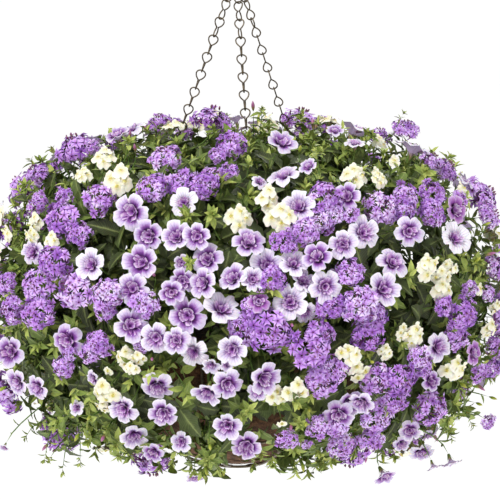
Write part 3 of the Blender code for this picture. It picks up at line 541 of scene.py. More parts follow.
# Polar sheet: two broad lobes below, four narrow ones above, round a raised palate with a pit over it.
def creamShape():
    size = creamSet
    s, angle = np.linspace(0.0, 1.0, size["rows"])[:, None], turns(size["columns"])[None]
    above = np.clip(np.sin(angle), 0.0, 1.0)
    below = np.clip(-np.sin(angle), 0.0, 1.0) ** 0.35
    notch = size["cleft"] * np.exp(-((angle - 1.5 * math.pi) / 0.16) ** 2)
    lobes = size["lobe"] + size["upper"] * np.abs(np.sin(2.0 * angle + math.pi / 2.0)) ** 0.6
    edge = np.where(np.sin(angle) < 0.0, size["lobe"] + size["lower"] * below - notch, lobes)
    edge = edge + size["ragged"] * np.sin(9.0 * angle)
    radius = size["throat"] + (edge - size["throat"]) * s
    x, y = radius * np.cos(angle), radius * np.sin(angle)
    height = size["hood"] * above * s ** 0.8 + size["chin"] * (1.0 - above) * s ** 3
    height = height + size["palate"] * np.exp(-(x ** 2 + (y + 0.14) ** 2) / 0.035)
    height = height + size["pit"] * np.exp(-(x ** 2 + (y - 0.10) ** 2) / 0.02)
    height = height + size["ripple"] * s ** 2 * np.sin(6.0 * angle)
    points, faces, _, _ = sheet(np.stack((x, y, height), axis=-1), s, angle, wrap=True)
    return points, faces, np.sqrt(x ** 2 + (y + 0.10) ** 2).ravel(), (x * 2.0).ravel()


# A blade along +Y: half width sin(pi s^0.8), folded at its midrib, drooping by s^2.
def leafShape(rows, widest, fold, droop, teeth=0.0):
    s, x = np.linspace(0.0, 1.0, rows)[:, None], np.array((-1.0, 0.0, 1.0))[None]
    half = widest * (0.06 + np.sin(math.pi * np.clip(s, 0.0, 0.985) ** 0.80))
    half = half * (1.0 + teeth * ((np.arange(rows)[:, None] % 2) * 2.0 - 1.0) * (s < 0.99))
    half = np.where(s > 0.99, widest * 0.03, half)
    points = np.stack((half * x, s + 0.0 * x, fold * np.abs(x) * half - droop * s ** 2), axis=-1)
    return sheet(points, s, x, flip=False)


# A pointed, slightly swollen bud along +Z: radius by sin(pi s)^0.75.
def budShape(rows, sides):
    def profile(s):
        return 0.34 * np.sin(math.pi * np.clip(s, 0.02, 0.985)) ** 0.75, 2.2 * s - 1.1
    return roundForm(rows, sides, profile)


# Finishes. First, a colour written as sRGB hex digits, as the linear values that shaders use.
def linear(code):
    parts = [int(code[index:index + 2], 16) / 255.0 for index in (0, 2, 4)]
    return tuple(p / 12.92 if p <= 0.04045 else ((p + 0.055) / 1.055) ** 2.4 for p in parts) + (1.0,)


# Short calls for a node tree, each giving an output socket.
class Graph:
    def __init__(self, tree):
        self.tree = tree

    # A node with these settings, its inputs linked to sockets or set to values.
    def put(self, kind, inputs=(), **settings):
        node = self.tree.nodes.new(kind)
        for key, value in settings.items():
            setattr(node, key, value)
        for key, value in dict(inputs).items():
            if isinstance(value, bpy.types.NodeSocket):
                self.tree.links.new(value, node.inputs[key])
            else:
                node.inputs[key].default_value = value
        return node

    def value(self, label):
        return self.put("ShaderNodeAttribute", attribute_name=label).outputs["Fac"]

    def math(self, operation, a, b=0.0, clamp=False):
        return self.put("ShaderNodeMath", {0: a, 1: b}, operation=operation, use_clamp=clamp).outputs[0]

    def plus(self, a, b):
        return self.math("ADD", a, b)

    def minus(self, a, b, clamp=False):
        return self.math("SUBTRACT", a, b, clamp)

    def times(self, a, b, clamp=False):
        return self.math("MULTIPLY", a, b, clamp)

    def mix(self, share, a, b, blend="MIX"):
        inputs = {0: share, 6: a, 7: b}
        return self.put("ShaderNodeMix", inputs, data_type="RGBA", blend_type=blend).outputs[2]

    # The base colour with a share of another over it.
    def tint(self, base, mask, share, code):
        return self.mix(self.times(mask, share), base, linear(code))

    def ramp(self, share, *stops):
        node = self.put("ShaderNodeValToRGB", {0: share})
        elements = node.color_ramp.elements
        elements[0].position, elements[0].color = stops[0][0], linear(stops[0][1])
        elements[1].position, elements[1].color = stops[-1][0], linear(stops[-1][1])
        for at, code in stops[1:-1]:
            elements.new(at).color = linear(code)
        return node.outputs[0]

    def noise(self, scale, detail=3.0):
        where = self.put("ShaderNodeTexCoord").outputs["Object"]
        return self.put("ShaderNodeTexNoise", {"Vector": where, "Scale": scale, "Detail": detail}).outputs[0]

    def bump(self, height, distance):
        inputs = dict(Height=height, Distance=distance, Strength=1.0)
        return self.put("ShaderNodeBump", inputs).outputs[0]

    def behind(self):
        return self.put("ShaderNodeNewGeometry").outputs["Backfacing"]

    # The shared mottling about zero, times an amount.
    def mottled(self, scale, amount=1.0):
        return self.times(self.put("ShaderNodeGroup", dict(Scale=scale), node_tree=mottle).outputs[0], amount)

    # The shared veins, fading along from reach.
    def veined(self, along, count, sharp, reach=1.0):
        inputs = dict(Across=self.value("across"), Along=along, Count=count, Sharp=sharp, Reach=reach)
        return self.put("ShaderNodeGroup", inputs, node_tree=veins).outputs[0]


# A node group of one mask, from named numbers.
def sharedMask(name, inputs, build):
    tree = bpy.data.node_groups.new(name, "ShaderNodeTree")
    for label, value in inputs.items():
        tree.interface.new_socket(label, in_out="INPUT", socket_type="NodeSocketFloat").default_value = value
    tree.interface.new_socket("Mask", in_out="OUTPUT", socket_type="NodeSocketFloat")
    source = tree.nodes.new("NodeGroupInput")
    target = tree.nodes.new("NodeGroupOutput")
    tree.links.new(build(Graph(tree), source.outputs), target.inputs[0])
    return tree


# (1 - |sin(across * count + wander)|)^sharp, faded by reach - along.
def veinMask(graph, given):
    wander = graph.times(graph.noise(420.0, 2.0), 1.6)
    turn = graph.plus(graph.times(given["Across"], given["Count"]), wander)
    line = graph.minus(1.0, graph.math("ABSOLUTE", graph.math("SINE", turn)))
    line = graph.math("POWER", line, given["Sharp"])
    return graph.times(line, graph.minus(given["Reach"], given["Along"], clamp=True))


# Two sizes of noise about zero.
def mottleMask(graph, given):
    coarse = graph.minus(graph.noise(given["Scale"], 2.0), 0.5)
    fine = graph.minus(graph.noise(graph.times(given["Scale"], 4.3), 3.0), 0.5)
    return graph.plus(coarse, fine)


veins = sharedMask("petalVeins", dict(Across=0.0, Along=0.0, Count=12.0, Sharp=6.0, Reach=1.1), veinMask)
mottle = sharedMask("mottle", dict(Scale=60.0), mottleMask)


# A material whose Principled inputs are what paint gives, the rest set as constants.
def makeSkin(name, paint, roughness, **constants):
    made = bpy.data.materials.new(name)
    made.use_nodes = True
    shader = made.node_tree.nodes["Principled BSDF"]
    shader.inputs["Roughness"].default_value = roughness
    for key, value in constants.items():
        shader.inputs[key.replace("_", " ")].default_value = value
    for key, socket in paint(Graph(made.node_tree)).items():
        made.node_tree.links.new(socket, shader.inputs[key])
    return made


# Dark throat to pale edge, shifted by tone and mottling; a pink ramp for tones under -0.5; veins; pale backs,
# partly the petals' own paler colour and partly painted light coming through them, and a faint glow on the
# backs, painted light coming through the petal.
def funnelPaint(g):
    along, tone = g.value("along"), g.value("tone")
    shift = g.times(g.minus(tone, 0.50), 0.38)
    shade = g.plus(g.plus(along, shift), g.mottled(90.0, 0.22))
    base = g.ramp(shade, (0.0, "3c0e4c"), (0.20, "5c1c72"), (0.35, "84409c"), (0.50, "b08cc6"),
                  (0.68, "d1c2de"), (0.90, "e4ddea"), (1.0, "e9e4ed"))
    pink = g.ramp(along, (0.0, "4c0f50"), (0.3, "74247c"), (0.55, "984dab"), (0.8, "bb86c8"), (1.0, "dbc4e4"))
    base = g.mix(g.math("LESS_THAN", tone, -0.5), base, pink)
    line = g.veined(along, 8.0, 3.0, 1.02)
    base = g.tint(g.tint(base, line, 0.9, "4e1670"), g.behind(), 0.85, "c3afd2")
    # Painted light coming through the petal: the backs glow faintly in their pale colour.
    paintedThroughLight = g.mix(g.behind(), linear("000000"), linear("c3afd2"))
    return {"Base Color": base, "Emission Color": paintedThroughLight, "Normal": g.bump(line, 0.00025)}


# Dark to pale along each petaloid, mottled, with strong veins.
def ruffPaint(g):
    along = g.value("along")
    base = g.ramp(g.plus(along, g.mottled(140.0, 0.3)),
                  (0.0, "4c1460"), (0.35, "9450a8"), (0.70, "c190cd"), (1.0, "e8d8ec"))
    line = g.veined(along, 4.5, 2.2, 1.4)
    return {"Base Color": g.tint(base, line, 0.92, "701f7c"), "Normal": g.bump(line, 0.0002)}


# Lilac to green along the tube, with veins.
def tubePaint(g):
    base = g.ramp(g.value("along"), (0.0, "a58cb4"), (0.45, "b6a36a"), (1.0, "8f9a48"))
    return {"Base Color": g.tint(base, g.veined(0.0, 8.0, 3.0), 0.4, "6d3f5c")}


# Lilacs by tone and mottling, times a dark middle that is partly the floret's own dark eye and partly painted
# shade in its throat, with faint veins and a paler edge past 0.6.
def verbenaPaint(g):
    along = g.value("along")
    hue = g.plus(g.value("tone"), g.mottled(110.0, 0.5))
    base = g.ramp(hue, (0.0, "a364c4"), (0.35, "c78ede"), (0.65, "e0b4f2"), (1.0, "f5e2fc"))
    # Dark middle to white tip: partly the floret's dark eye, partly painted shade in its throat.
    inner = g.ramp(along, (0.0, "8a3a74"), (0.15, "b47cbc"), (0.45, "eadffa"), (1.0, "ffffff"))
    line = g.veined(along, 5.0, 4.0)
    base = g.tint(g.mix(1.0, base, inner, "MULTIPLY"), line, 0.25, "6a3fb4")
    base = g.tint(base, g.minus(along, 0.6, clamp=True), 0.7, "d9c2fa")
    return {"Base Color": base, "Normal": g.bump(line, 0.00012)}


# Yellow palate to cream edge, brown dots in a ring round the palate, a yellow blush by tone.
def creamPaint(g):
    along = g.value("along")
    base = g.ramp(along, (0.0, "a89a2c"), (0.12, "d3c65c"), (0.22, "e9e3b4"), (0.50, "f0ecd6"),
                  (1.0, "f4f1e6"))
    ring = g.ramp(along, (0.05, "000000"), (0.11, "ffffff"), (0.20, "ffffff"), (0.27, "000000"))
    dots = g.math("GREATER_THAN", g.noise(1500.0, 1.0), 0.60)
    base = g.tint(base, g.times(dots, ring), 0.75, "6b3f2c")
    blush = g.times(g.math("ABSOLUTE", g.mottled(80.0)), 0.9, clamp=True)
    base = g.mix(g.times(blush, g.value("tone")), base, linear("e6e6a8"))
    return {"Base Color": base, "Normal": g.bump(g.noise(900.0), 0.00012)}


# Greens by tone and mottling, a pale midrib (1 - |x|)^9, slanting veins, and duller backs.
def leafPaint(g):
    hue = g.plus(g.value("tone"), g.mottled(70.0, 0.35))
    base = g.ramp(hue, (0.0, "2c3514"), (0.30, "4a5b22"), (0.60, "728834"), (0.85, "97a849"), (1.0, "bcc766"))
    side = g.math("ABSOLUTE", g.value("across"))
    rib = g.math("POWER", g.minus(1.0, side), 9.0)
    slant = g.plus(g.times(g.value("along"), 46.0), g.times(side, -9.0))
    ridge = g.math("POWER", g.minus(1.0, g.math("ABSOLUTE", g.math("SINE", slant))), 3.0)
    base = g.tint(g.tint(base, rib, 0.55, "b9c878"), ridge, 0.18, "a3b35a")
    base = g.tint(base, g.behind(), 0.45, "8b9c5c")
    return {"Base Color": base, "Normal": g.bump(g.plus(rib, g.times(ridge, 0.5)), 0.0003)}


# Mottled green, browner near the root.
def stemPaint(g):
    base = g.ramp(g.plus(0.5, g.mottled(45.0)), (0.1, "3f5b1e"), (0.5, "5f8030"), (0.9, "8da551"))
    base = g.tint(base, g.minus(0.35, g.value("along"), clamp=True), 1.2, "5c4a2a")
    return {"Base Color": base, "Normal": g.bump(g.noise(2600.0), 0.0001)}


# Green base to pink tip, with veins.
def pinkBudPaint(g):
    base = g.ramp(g.value("along"), (0.0, "7f9440"), (0.35, "a88a5c"), (0.6, "a85f8e"), (1.0, "c58ab4"))
    return {"Base Color": g.tint(base, g.veined(0.0, 5.0, 3.0), 0.4, "7c3569")}


# Green base to yellow tip, with veins.
def greenBudPaint(g):
    base = g.ramp(g.value("along"), (0.0, "6f8c2e"), (0.5, "a3b43c"), (1.0, "cdc95e"))
    return {"Base Color": g.tint(base, g.veined(0.0, 4.0, 3.0), 0.35, "6b8a30")}


# Green base to purple tip.
def darkBudPaint(g):
    base = g.ramp(g.value("along"), (0.0, "4c5a2a"), (0.5, "6e3f4c"), (1.0, "8a4a86"))
    return {"Base Color": base, "Normal": g.bump(g.noise(1800.0), 0.0001)}


# Mottled bronze, rougher where it is lighter.
def wirePaint(g):
    blotch = g.mottled(130.0)
    base = g.ramp(g.plus(0.5, blotch), (0.15, "352d22"), (0.5, "5a4f3f"), (0.85, "84765f"))
    return {"Base Color": base, "Roughness": g.plus(0.42, g.times(blotch, 0.4)),
            "Normal": g.bump(g.noise(900.0), 0.00015)}


# Browns by tone and mottling.
def coirPaint(g):
    hue = g.plus(g.times(g.value("tone"), 0.7), g.mottled(160.0))
    base = g.ramp(hue, (0.0, "2e1c0f"), (0.3, "523622"), (0.6, "785333"), (1.0, "aa7f50"))
    return {"Base Color": base, "Normal": g.bump(g.noise(1400.0, 4.0), 0.0006)}


# Dark mottled brown.
def soilPaint(g):
    base = g.ramp(g.plus(0.5, g.mottled(180.0)), (0.2, "120c07"), (0.5, "2c1d12"), (0.8, "4a3421"))
    return {"Base Color": base, "Normal": g.bump(g.noise(700.0, 4.0), 0.0010)}


# Nearly white, with broad faint clouds.
def floorPaint(g):
    return {"Base Color": g.ramp(g.noise(2.0), (0.0, "f1f1f0"), (1.0, "f6f6f5"))}


soft = dict(Subsurface_Weight=0.12, Subsurface_Scale=0.002, Sheen_Weight=0.08)
# The petals' backs glow faintly: painted light coming through the petal.
petal = makeSkin("calibrachoaPetal", funnelPaint, 0.55, Emission_Strength=0.28, **soft)
ruffle = makeSkin("calibrachoaRuffle", ruffPaint, 0.55, **soft)
throat = makeSkin("calibrachoaTube", tubePaint, 0.6)
violet = makeSkin("verbenaPetal", verbenaPaint, 0.55, **soft)
cream = makeSkin("creamPetal", creamPaint, 0.55, **soft)
leafy = makeSkin("leafBlade", leafPaint, 0.5, Subsurface_Weight=0.08, Subsurface_Scale=0.002)
stemmy = makeSkin("greenStem", stemPaint, 0.6)
pinkBud = makeSkin("pinkBud", pinkBudPaint, 0.5)
greenBud = makeSkin("greenBud", greenBudPaint, 0.5)
darkBud = makeSkin("darkBud", darkBudPaint, 0.5)
wire = makeSkin("bronzeWire", wirePaint, 0.45, Metallic=0.55)
coir = makeSkin("coconutFibre", coirPaint, 0.95)
earth = makeSkin("pottingMix", soilPaint, 0.97)
pale = makeSkin("paleFloor", floorPaint, 0.9, Emission_Color=(1.0, 1.0, 1.0, 1.0), Emission_Strength=0.50)
print("finishes made")


# Hook, chains and frame.
hookSet = dict(
    wire=0.0020, bend=0.0110, bendAngles=(-40.0, 180.0), turn=math.radians(45.0), eye=0.0105, eyeWire=0.0015,
    shank=((-0.0110, -0.022), (-0.004, -0.036), (0.0, -0.042)), intoEye=0.001,
    coil=0.0028, coilWire=0.0011, coilTurns=2.0, coilLift=0.0010, coilPitch=0.00026,
)
chainSet = dict(
    wire=0.0008, pitch=0.0210, halfWidth=0.0052, leadLinks=3, straightLinks=8, stations=22, sides=8,
    widen=1.12, seed=3, tones=(0.2, 0.8),
    slots=dict(chain_left=-0.0037, chain_front=0.0, chain_right=0.0037),
    leans=dict(chain_left=0.0, chain_front=math.radians(4.0), chain_right=0.0),
)
frameSet = dict(
    rimWire=0.0025, ribWire=0.0015, ribs=8, ribStart=0.31, spare=0.0030, clear=0.0008, baseClear=0.0005,
    angles=np.radians((0.0, 24.0, 46.0, 66.0, 82.0)), baseShares=(0.15, 0.85),
    earHalf=0.005, earHeight=0.011, earSpread=1.4, earClear=0.0006,
)


# A round wire along a route, an open one's ends drawn out by a hair and closed.
def addWire(bunch, route, radius, sides, closed=False):
    if not closed:
        route = np.concatenate((route[:1], route, route[-1:]))
        route[0] += (route[1] - route[2]) * 1e-3
        route[-1] += (route[-2] - route[-3]) * 1e-3
    widths = np.full(len(route), radius)
    bunch.add(wire, *tubes(route[None], widths if closed else capped(widths), sides, closed), 0.5)


# A crook that runs down to a ring, the eye, whose tail is wound round the shank.
def makeHook():
    size = hookSet
    bunch = Bunch([wire])
    bend = np.radians(np.linspace(*size["bendAngles"], 12))
    crook = [(size["bend"] * math.cos(a), size["bend"] * (math.sin(a) - 1.0) + size["wire"]) for a in bend]
    eyeTop = lay["gatherZ"] + 2.0 * size["eye"]
    level = np.array((math.cos(size["turn"]), math.sin(size["turn"]), 0.0))
    sides = (*crook, *size["shank"], (0.0, eyeTop - size["intoEye"]))
    points = [x * level + np.array((0.0, 0.0, z)) for x, z in sides]
    addWire(bunch, smoothRoute(points, 60), size["wire"], 12)
    turn = turns(48)[:, None]
    ring = (np.array((0.0, 0.0, lay["gatherZ"] + size["eye"])) + np.cos(turn) * (level * size["eye"])
            + np.sin(turn) * np.array((0.0, 0.0, size["eye"])))
    addWire(bunch, ring, size["eyeWire"], 12, closed=True)
    turn = np.linspace(0.0, size["coilTurns"] * fullTurn, 30)
    coil = polar(size["coil"], turn, eyeTop + size["coilLift"] + turn * size["coilPitch"])
    addWire(bunch, coil, size["coilWire"], 8)
    bunch.make("hanger_hook")


# A wire bent to two loops, the second turned a quarter: teardrops u = a (1 - cos t) / 2, v = b sin t, each
# narrowed by sin(t / 2)^0.8.
def linkRoute(middle, along, wide, deep, reach, half, lie):
    turn = turns(chainSet["stations"])[:, None]
    rise = reach * (1.0 - np.cos(turn)) / 2.0
    width = half * np.sin(turn) * np.sin(turn / 2.0) ** 0.8 * chainSet["widen"]
    beside = lie * np.cos(turn / 2.0)
    upper = middle - along * rise + wide * (width + beside)
    lower = middle + along * rise + deep * width - wide * beside
    return np.concatenate((upper, lower))


# Links from the eye to the ear, each at its step of the run. The first ones turn from across the eye, and
# the left chain makes a quarter turn further down.
def makeChain(node):
    size = chainSet
    bunch = Bunch([wire])
    eye, slot = hookSet["eye"], size["slots"][node]
    belowEar = frameSet["ribWire"] + 0.75 * size["wire"] + 2.0 * lay["gap"]
    foot = radial(chainAzimuths[node], lay["rimRadius"], lay["rimZ"] + frameSet["earHeight"] - belowEar)
    level = math.sqrt(eye ** 2 - 2.0 * slot ** 2)
    lift = (hookSet["eyeWire"] + 0.75 * size["wire"] + 4.0 * lay["gap"]) * eye / level
    top = np.array((slot, slot, lay["gatherZ"] + eye - level + lift))
    run = foot - top
    count = round(np.linalg.norm(run) / size["pitch"])
    pitch = (np.linalg.norm(run) - size["wire"]) / count
    along = unit(run)
    wide = np.array((0.0, 1.0, 0.0)) if node == "chain_right" else np.array((1.0, 0.0, 0.0))
    wide = unit(wide - along * (wide @ along))
    deep = np.cross(along, wide)
    acrossEye = np.array((math.sin(hookSet["turn"]), -math.cos(hookSet["turn"]), 0.0))
    lead = math.atan2(acrossEye @ deep, acrossEye @ wide)
    lead -= math.pi * round(lead / math.pi)
    quarter = math.pi / 2.0 if node == "chain_left" else 0.0
    routes = []
    for step in range(count):
        twist = size["leans"][node] * (step + 1) / count + lead * max(0.0, 1.0 - step / size["leadLinks"])
        twist += quarter * max(0.0, (step - size["straightLinks"]) / (count - 1 - size["straightLinks"]))
        first = wide * math.cos(twist) + deep * math.sin(twist)
        middle = top + along * pitch * (step + 0.5)
        routes.append(linkRoute(middle, along, first, np.cross(along, first),
                                pitch / 2.0 + size["wire"], size["halfWidth"], size["wire"]))
    tones = np.random.default_rng(size["seed"]).uniform(*size["tones"], count)
    bunch.add(wire, *tubes(np.array(routes), size["wire"], size["sides"], closed=True), tones)
    bunch.make(node)


# Three hoops, ribs down the bowl's ellipse a little outside the liner, and an ear for each chain.
def makeFrame():
    size = frameSet
    bunch = Bunch([wire])
    wide, deep = lay["rimRadius"] + size["spare"], lay["bowlDepth"] + size["spare"]
    middle = size["angles"][2]
    base = size["baseShares"][0] * size["angles"][3] + size["baseShares"][1] * size["angles"][4]
    for radius, height, thick, stations in (
        (lay["rimRadius"] + size["rimWire"] + size["clear"], lay["rimZ"], size["rimWire"], 96),
        (wide * math.cos(middle) + size["clear"], lay["rimZ"] - deep * math.sin(middle), size["ribWire"], 80),
        (wide * math.cos(base) + size["baseClear"], lay["rimZ"] - deep * math.sin(base), size["ribWire"], 48),
    ):
        addWire(bunch, polar(radius, turns(stations), height), thick, 10, closed=True)
    for index in range(size["ribs"]):
        azimuth = 360.0 * (index + size["ribStart"]) / size["ribs"]
        route = [radial(azimuth, wide * math.cos(a), lay["rimZ"] - deep * math.sin(a))
                 for a in size["angles"]]
        addWire(bunch, smoothRoute(route, 30), size["ribWire"], 8)
    for azimuth in chainAzimuths.values():
        tangent = radial(azimuth + 90.0, size["earHalf"], 0.0)
        foot = radial(azimuth, lay["rimRadius"] + size["rimWire"] + size["earClear"], lay["rimZ"])
        head = radial(azimuth, lay["rimRadius"], lay["rimZ"] + size["earHeight"])
        step = tangent * size["earSpread"]
        addWire(bunch, smoothRoute([foot - step, head - tangent, head + tangent, foot + step], 24),
                size["ribWire"], 8)
    bunch.make("basket_frame")


# Liner: a felt of coconut fibre with loose strands on it.
linerSet = dict(
    rows=32, innerRows=12, columns=100, seed=12, waves=26, swell=0.0006,
    lipRadii=(0.1492, 0.1470, 0.1440, 0.1424), lipHeights=(0.0012, 0.0024, 0.0026, 0.0008),
    strands=900, strand=0.00019, strandLong=(0.012, 0.034), lipStrands=220, lipRing=(0.1435, 0.1490),
    lipRise=(0.002, 0.006), lipLean=0.05, shade=(0.45, 0.12), tone=0.45, strandTones=(0.2, 1.2),
    lipTones=(0.3, 1.2), off=0.0003, loop=0.0012, curve=0.5,
)
pole = math.pi / 2.0 - 0.001


# Points this far outside the bowl's ellipse, azimuth in radians, angle down from the rim.
def bowlPoint(azimuth, angle, out):
    wide, deep = lay["rimRadius"] + out, lay["bowlDepth"] + out
    return polar(wide * np.cos(angle), azimuth, lay["rimZ"] - deep * np.sin(angle))


# The ellipse up the outside, over the lip and down the inside, swollen by a sum of sines; then strands that
# run along it in any direction, and short ones that stand on the lip.
def makeLiner():
    size = linerSet
    draw = np.random.default_rng(size["seed"])
    bunch = Bunch([coir])
    outer, inner = np.linspace(pole, 0.0, size["rows"]), np.linspace(0.06, pole, size["innerRows"])
    radius = np.concatenate((lay["rimRadius"] * np.cos(outer), size["lipRadii"],
                             (lay["rimRadius"] - lay["wall"]) * np.cos(inner)))
    height = np.concatenate((-lay["bowlDepth"] * np.sin(outer), size["lipHeights"],
                             -(lay["bowlDepth"] - lay["wall"]) * np.sin(inner)))
    turn = turns(size["columns"])
    wave = np.zeros((len(radius), size["columns"]))
    row = np.arange(len(radius))[:, None] / size["rows"]
    for _ in range(size["waves"]):
        wave += np.sin(draw.integers(2, 40) * turn[None] + draw.uniform(4, 60) * row + draw.uniform(0, 6.3))
    push = 1.0 + size["swell"] / lay["rimRadius"] * wave / 2.6
    points = polar(radius[:, None] * push, turn, lay["rimZ"] + height[:, None])
    shade = size["shade"][0] + size["shade"][1] * np.sin(turn * 7.0)
    bunch.add(coir, *sheet(points, row, shade, wrap=True, flip=False), size["tone"])
    count = size["strands"]
    t = np.linspace(-0.5, 0.5, 7)[None]
    azimuth = draw.uniform(0.0, fullTurn, count)[:, None]
    angle = np.arcsin(draw.uniform(0.02, 0.99, count))[:, None]
    way = draw.uniform(0.0, fullTurn, count)[:, None]
    long = draw.uniform(*size["strandLong"], count)[:, None] / lay["rimRadius"]
    curve = draw.uniform(-size["curve"], size["curve"], count)[:, None]
    azimuths = azimuth + long * (np.cos(way) * t + curve * t ** 2) / np.maximum(np.cos(angle), 0.25)
    angles = np.clip(angle + long * np.sin(way) * t, 0.0, 1.55)
    out = size["off"] + draw.uniform(0.0, size["loop"], count)[:, None] * (1.0 - (2.0 * t) ** 2)
    bunch.add(coir, *tubes(bowlPoint(azimuths, angles, out), capped(np.full(7, size["strand"])), 3),
              draw.uniform(*size["strandTones"], count))
    count = size["lipStrands"]
    azimuth = draw.uniform(0.0, fullTurn, count)[:, None]
    lean = draw.uniform(-1.0, 1.0, count)[:, None]
    s = np.linspace(0.0, 1.0, 5)[None]
    rise = draw.uniform(*size["lipRise"], count)[:, None]
    ring = draw.uniform(*size["lipRing"], count)[:, None]
    route = polar(ring, azimuth + lean * size["lipLean"] * s, lay["rimZ"] + 0.001 + rise * np.sin(s * 2.2))
    bunch.add(coir, *tubes(route, capped(np.full(5, size["strand"])), 3),
              draw.uniform(*size["lipTones"], count))
    bunch.make("coco_liner", "coconutLiner")


soilSet = dict(rows=18, sideRows=8, columns=90, seed=5, fit=0.0006, edge=0.0015, waves=20, lump=0.00035,
               crumbs=320, crumbRing=0.136, crumbLift=0.0005, crumb=(0.0006, 0.0022))


# Lumpy top, a sum of sines, then down inside the liner to its pole, with crumbs on top.
def makeSoil():
    size = soilSet
    draw = np.random.default_rng(size["seed"])
    bunch = Bunch([earth])
    wide, deep = lay["rimRadius"] - lay["wall"] - size["fit"], lay["bowlDepth"] - lay["wall"] - size["fit"]
    first = math.asin(lay["soilBelowRim"] / deep)
    side = np.linspace(first, pole, size["sideRows"])
    radius = np.concatenate((np.linspace(0.0001, wide * math.cos(first) - size["edge"], size["rows"]),
                             wide * np.cos(side)))
    height = np.concatenate((np.full(size["rows"], -lay["soilBelowRim"]), -deep * np.sin(side)))
    turn = turns(size["columns"])
    x, y = radius[:, None] * np.cos(turn), radius[:, None] * np.sin(turn)
    lumps = np.zeros_like(x)
    for _ in range(size["waves"]):
        lumps += np.sin(draw.uniform(-320, 320) * x + draw.uniform(-320, 320) * y + draw.uniform(0, 6.3))
    top = (np.arange(len(radius)) < size["rows"])[:, None]
    z = lay["rimZ"] + height[:, None] + np.where(top, lumps * size["lump"], 0.0)
    points = np.stack((x, y, z), axis=-1)
    bunch.add(earth, *sheet(points, np.zeros(len(radius)), np.zeros(len(turn)), wrap=True), 0.5)
    crumb = roundForm(4, 5, lambda s: (np.sin(math.pi * np.clip(s, 0.02, 0.98)), 1.0 - 2.0 * s), flip=True)
    count = size["crumbs"]
    far = np.sqrt(draw.uniform(0.0, 1.0, count)) * size["crumbRing"]
    level = lay["rimZ"] - lay["soilBelowRim"] + size["crumbLift"]
    spots = polar(far, draw.uniform(0.0, fullTurn, count), level)
    axes = frames(unit(draw.normal(size=(count, 3))))
    sizes = draw.uniform(*size["crumb"], (count, 1)) * draw.uniform(0.6, 1.3, (count, 3))
    bunch.strew(earth, crumb, spots, axes, sizes, 0.5)
    bunch.make("soil", "soilTop")


trumpets = [calibrachoaShapes(calibrachoaSet["seed"] + index) for index in range(calibrachoaSet["variants"])]
calyx = sepals(5, 0.62, 0.075, -1.02)
floret = floretShape()
twoLips = creamShape()
spur = roundForm(4, 8, lambda s: (0.20 - 0.12 * s, 0.02 - 0.64 * s), flip=True)
smallLeaf = leafShape(4, 0.17, 0.5, 0.18)
broadLeaf = leafShape(5, 0.23, 0.5, 0.22)
toothLeaf = leafShape(7, 0.22, 0.4, 0.25, teeth=0.16)
bud = budShape(6, 6)
smallBud = budShape(4, 4)

# Plants. A row of leaves is their shares of the route, blade, lengths, width, spread and tones.
plantSet = dict(
    neck=dict(calibrachoa=0.95, verbena=0.55, cream=0.60, leaf=0.50, pinkBud=1.2, greenBud=1.2),
    swell=dict(calibrachoa=1.13, verbena=1.18, cream=1.16, leaf=1.0, pinkBud=1.0, greenBud=1.0),
    largest=dict(calibrachoa=0.0215, verbena=0.0270), sway=0.26, front=-0.35, seed=21,
    stem=(0.0020, 0.0014), stalk=(0.00085, 0.00065), shoot=(0.0009, 0.0005), stalkTone=(0.3, 0.9),
    outerLeaves=((np.linspace(0.35, 0.97, 8), broadLeaf, (0.011, 0.018), 1.0, 0.85, (0.35, 0.95)),
                 ((0.35, 0.7), toothLeaf, (0.020, 0.029), 1.0, 0.85, (0.1, 0.6)),
                 (np.linspace(0.90, 0.99, 6), smallLeaf, (0.008, 0.013), 1.0, 0.55, (0.7, 1.2))),
    # Inner leaves take darker tones than outer ones: painted shade on leaves deep in the plant.
    innerLeaves=(((0.55, 0.8, 0.97), toothLeaf, (0.026, 0.038), 1.15, 0.85, (-0.1, 0.3)),
                 ((0.45, 0.7, 0.9), broadLeaf, (0.018, 0.026), 1.2, 0.85, (0.0, 0.4))),
    stalkLeaves=((np.linspace(0.25, 0.85, 5), smallLeaf, (0.010, 0.016), 1.0, 0.85, (0.35, 0.95)),
                 ((0.2, 0.45), toothLeaf, (0.020, 0.030), 1.0, 0.85, (0.0, 0.45))),
    goldenTurn=2.4, farthest=1.12, shortened=0.6, bladeWidth=(0.85, 1.2), whorl=15, whorlRise=(0.10, 1.25),
    whorlDrop=0.55, whorlLong=(1.10, 0.62), hold=0.35, firstRoot=0.0016, lastRoot=0.8, shortest=1.3,
    toneSeeds=(8, 9), swaySeed=31, spraySeed=1000,
)
# Small heads strewn round the unseen sides: kinds with their chances and radii.
extraSet = dict(
    heads=190, tries=6000, room=0.82, azimuths=(-112.0, 112.0), levels=(-0.84, 0.98), depth=(0.0, 0.010),
    grow=(0.85, 1.25), seenDepth=0.012, outShare=0.7, cameraShare=0.5, seenSway=0.18, sway=0.2,
    chances=(0.28, 0.34, 0.16, 0.10, 0.12),
    radius=dict(calibrachoa=0.013, verbena=0.013, cream=0.011, pinkBud=0.0055, greenBud=0.0055),
)
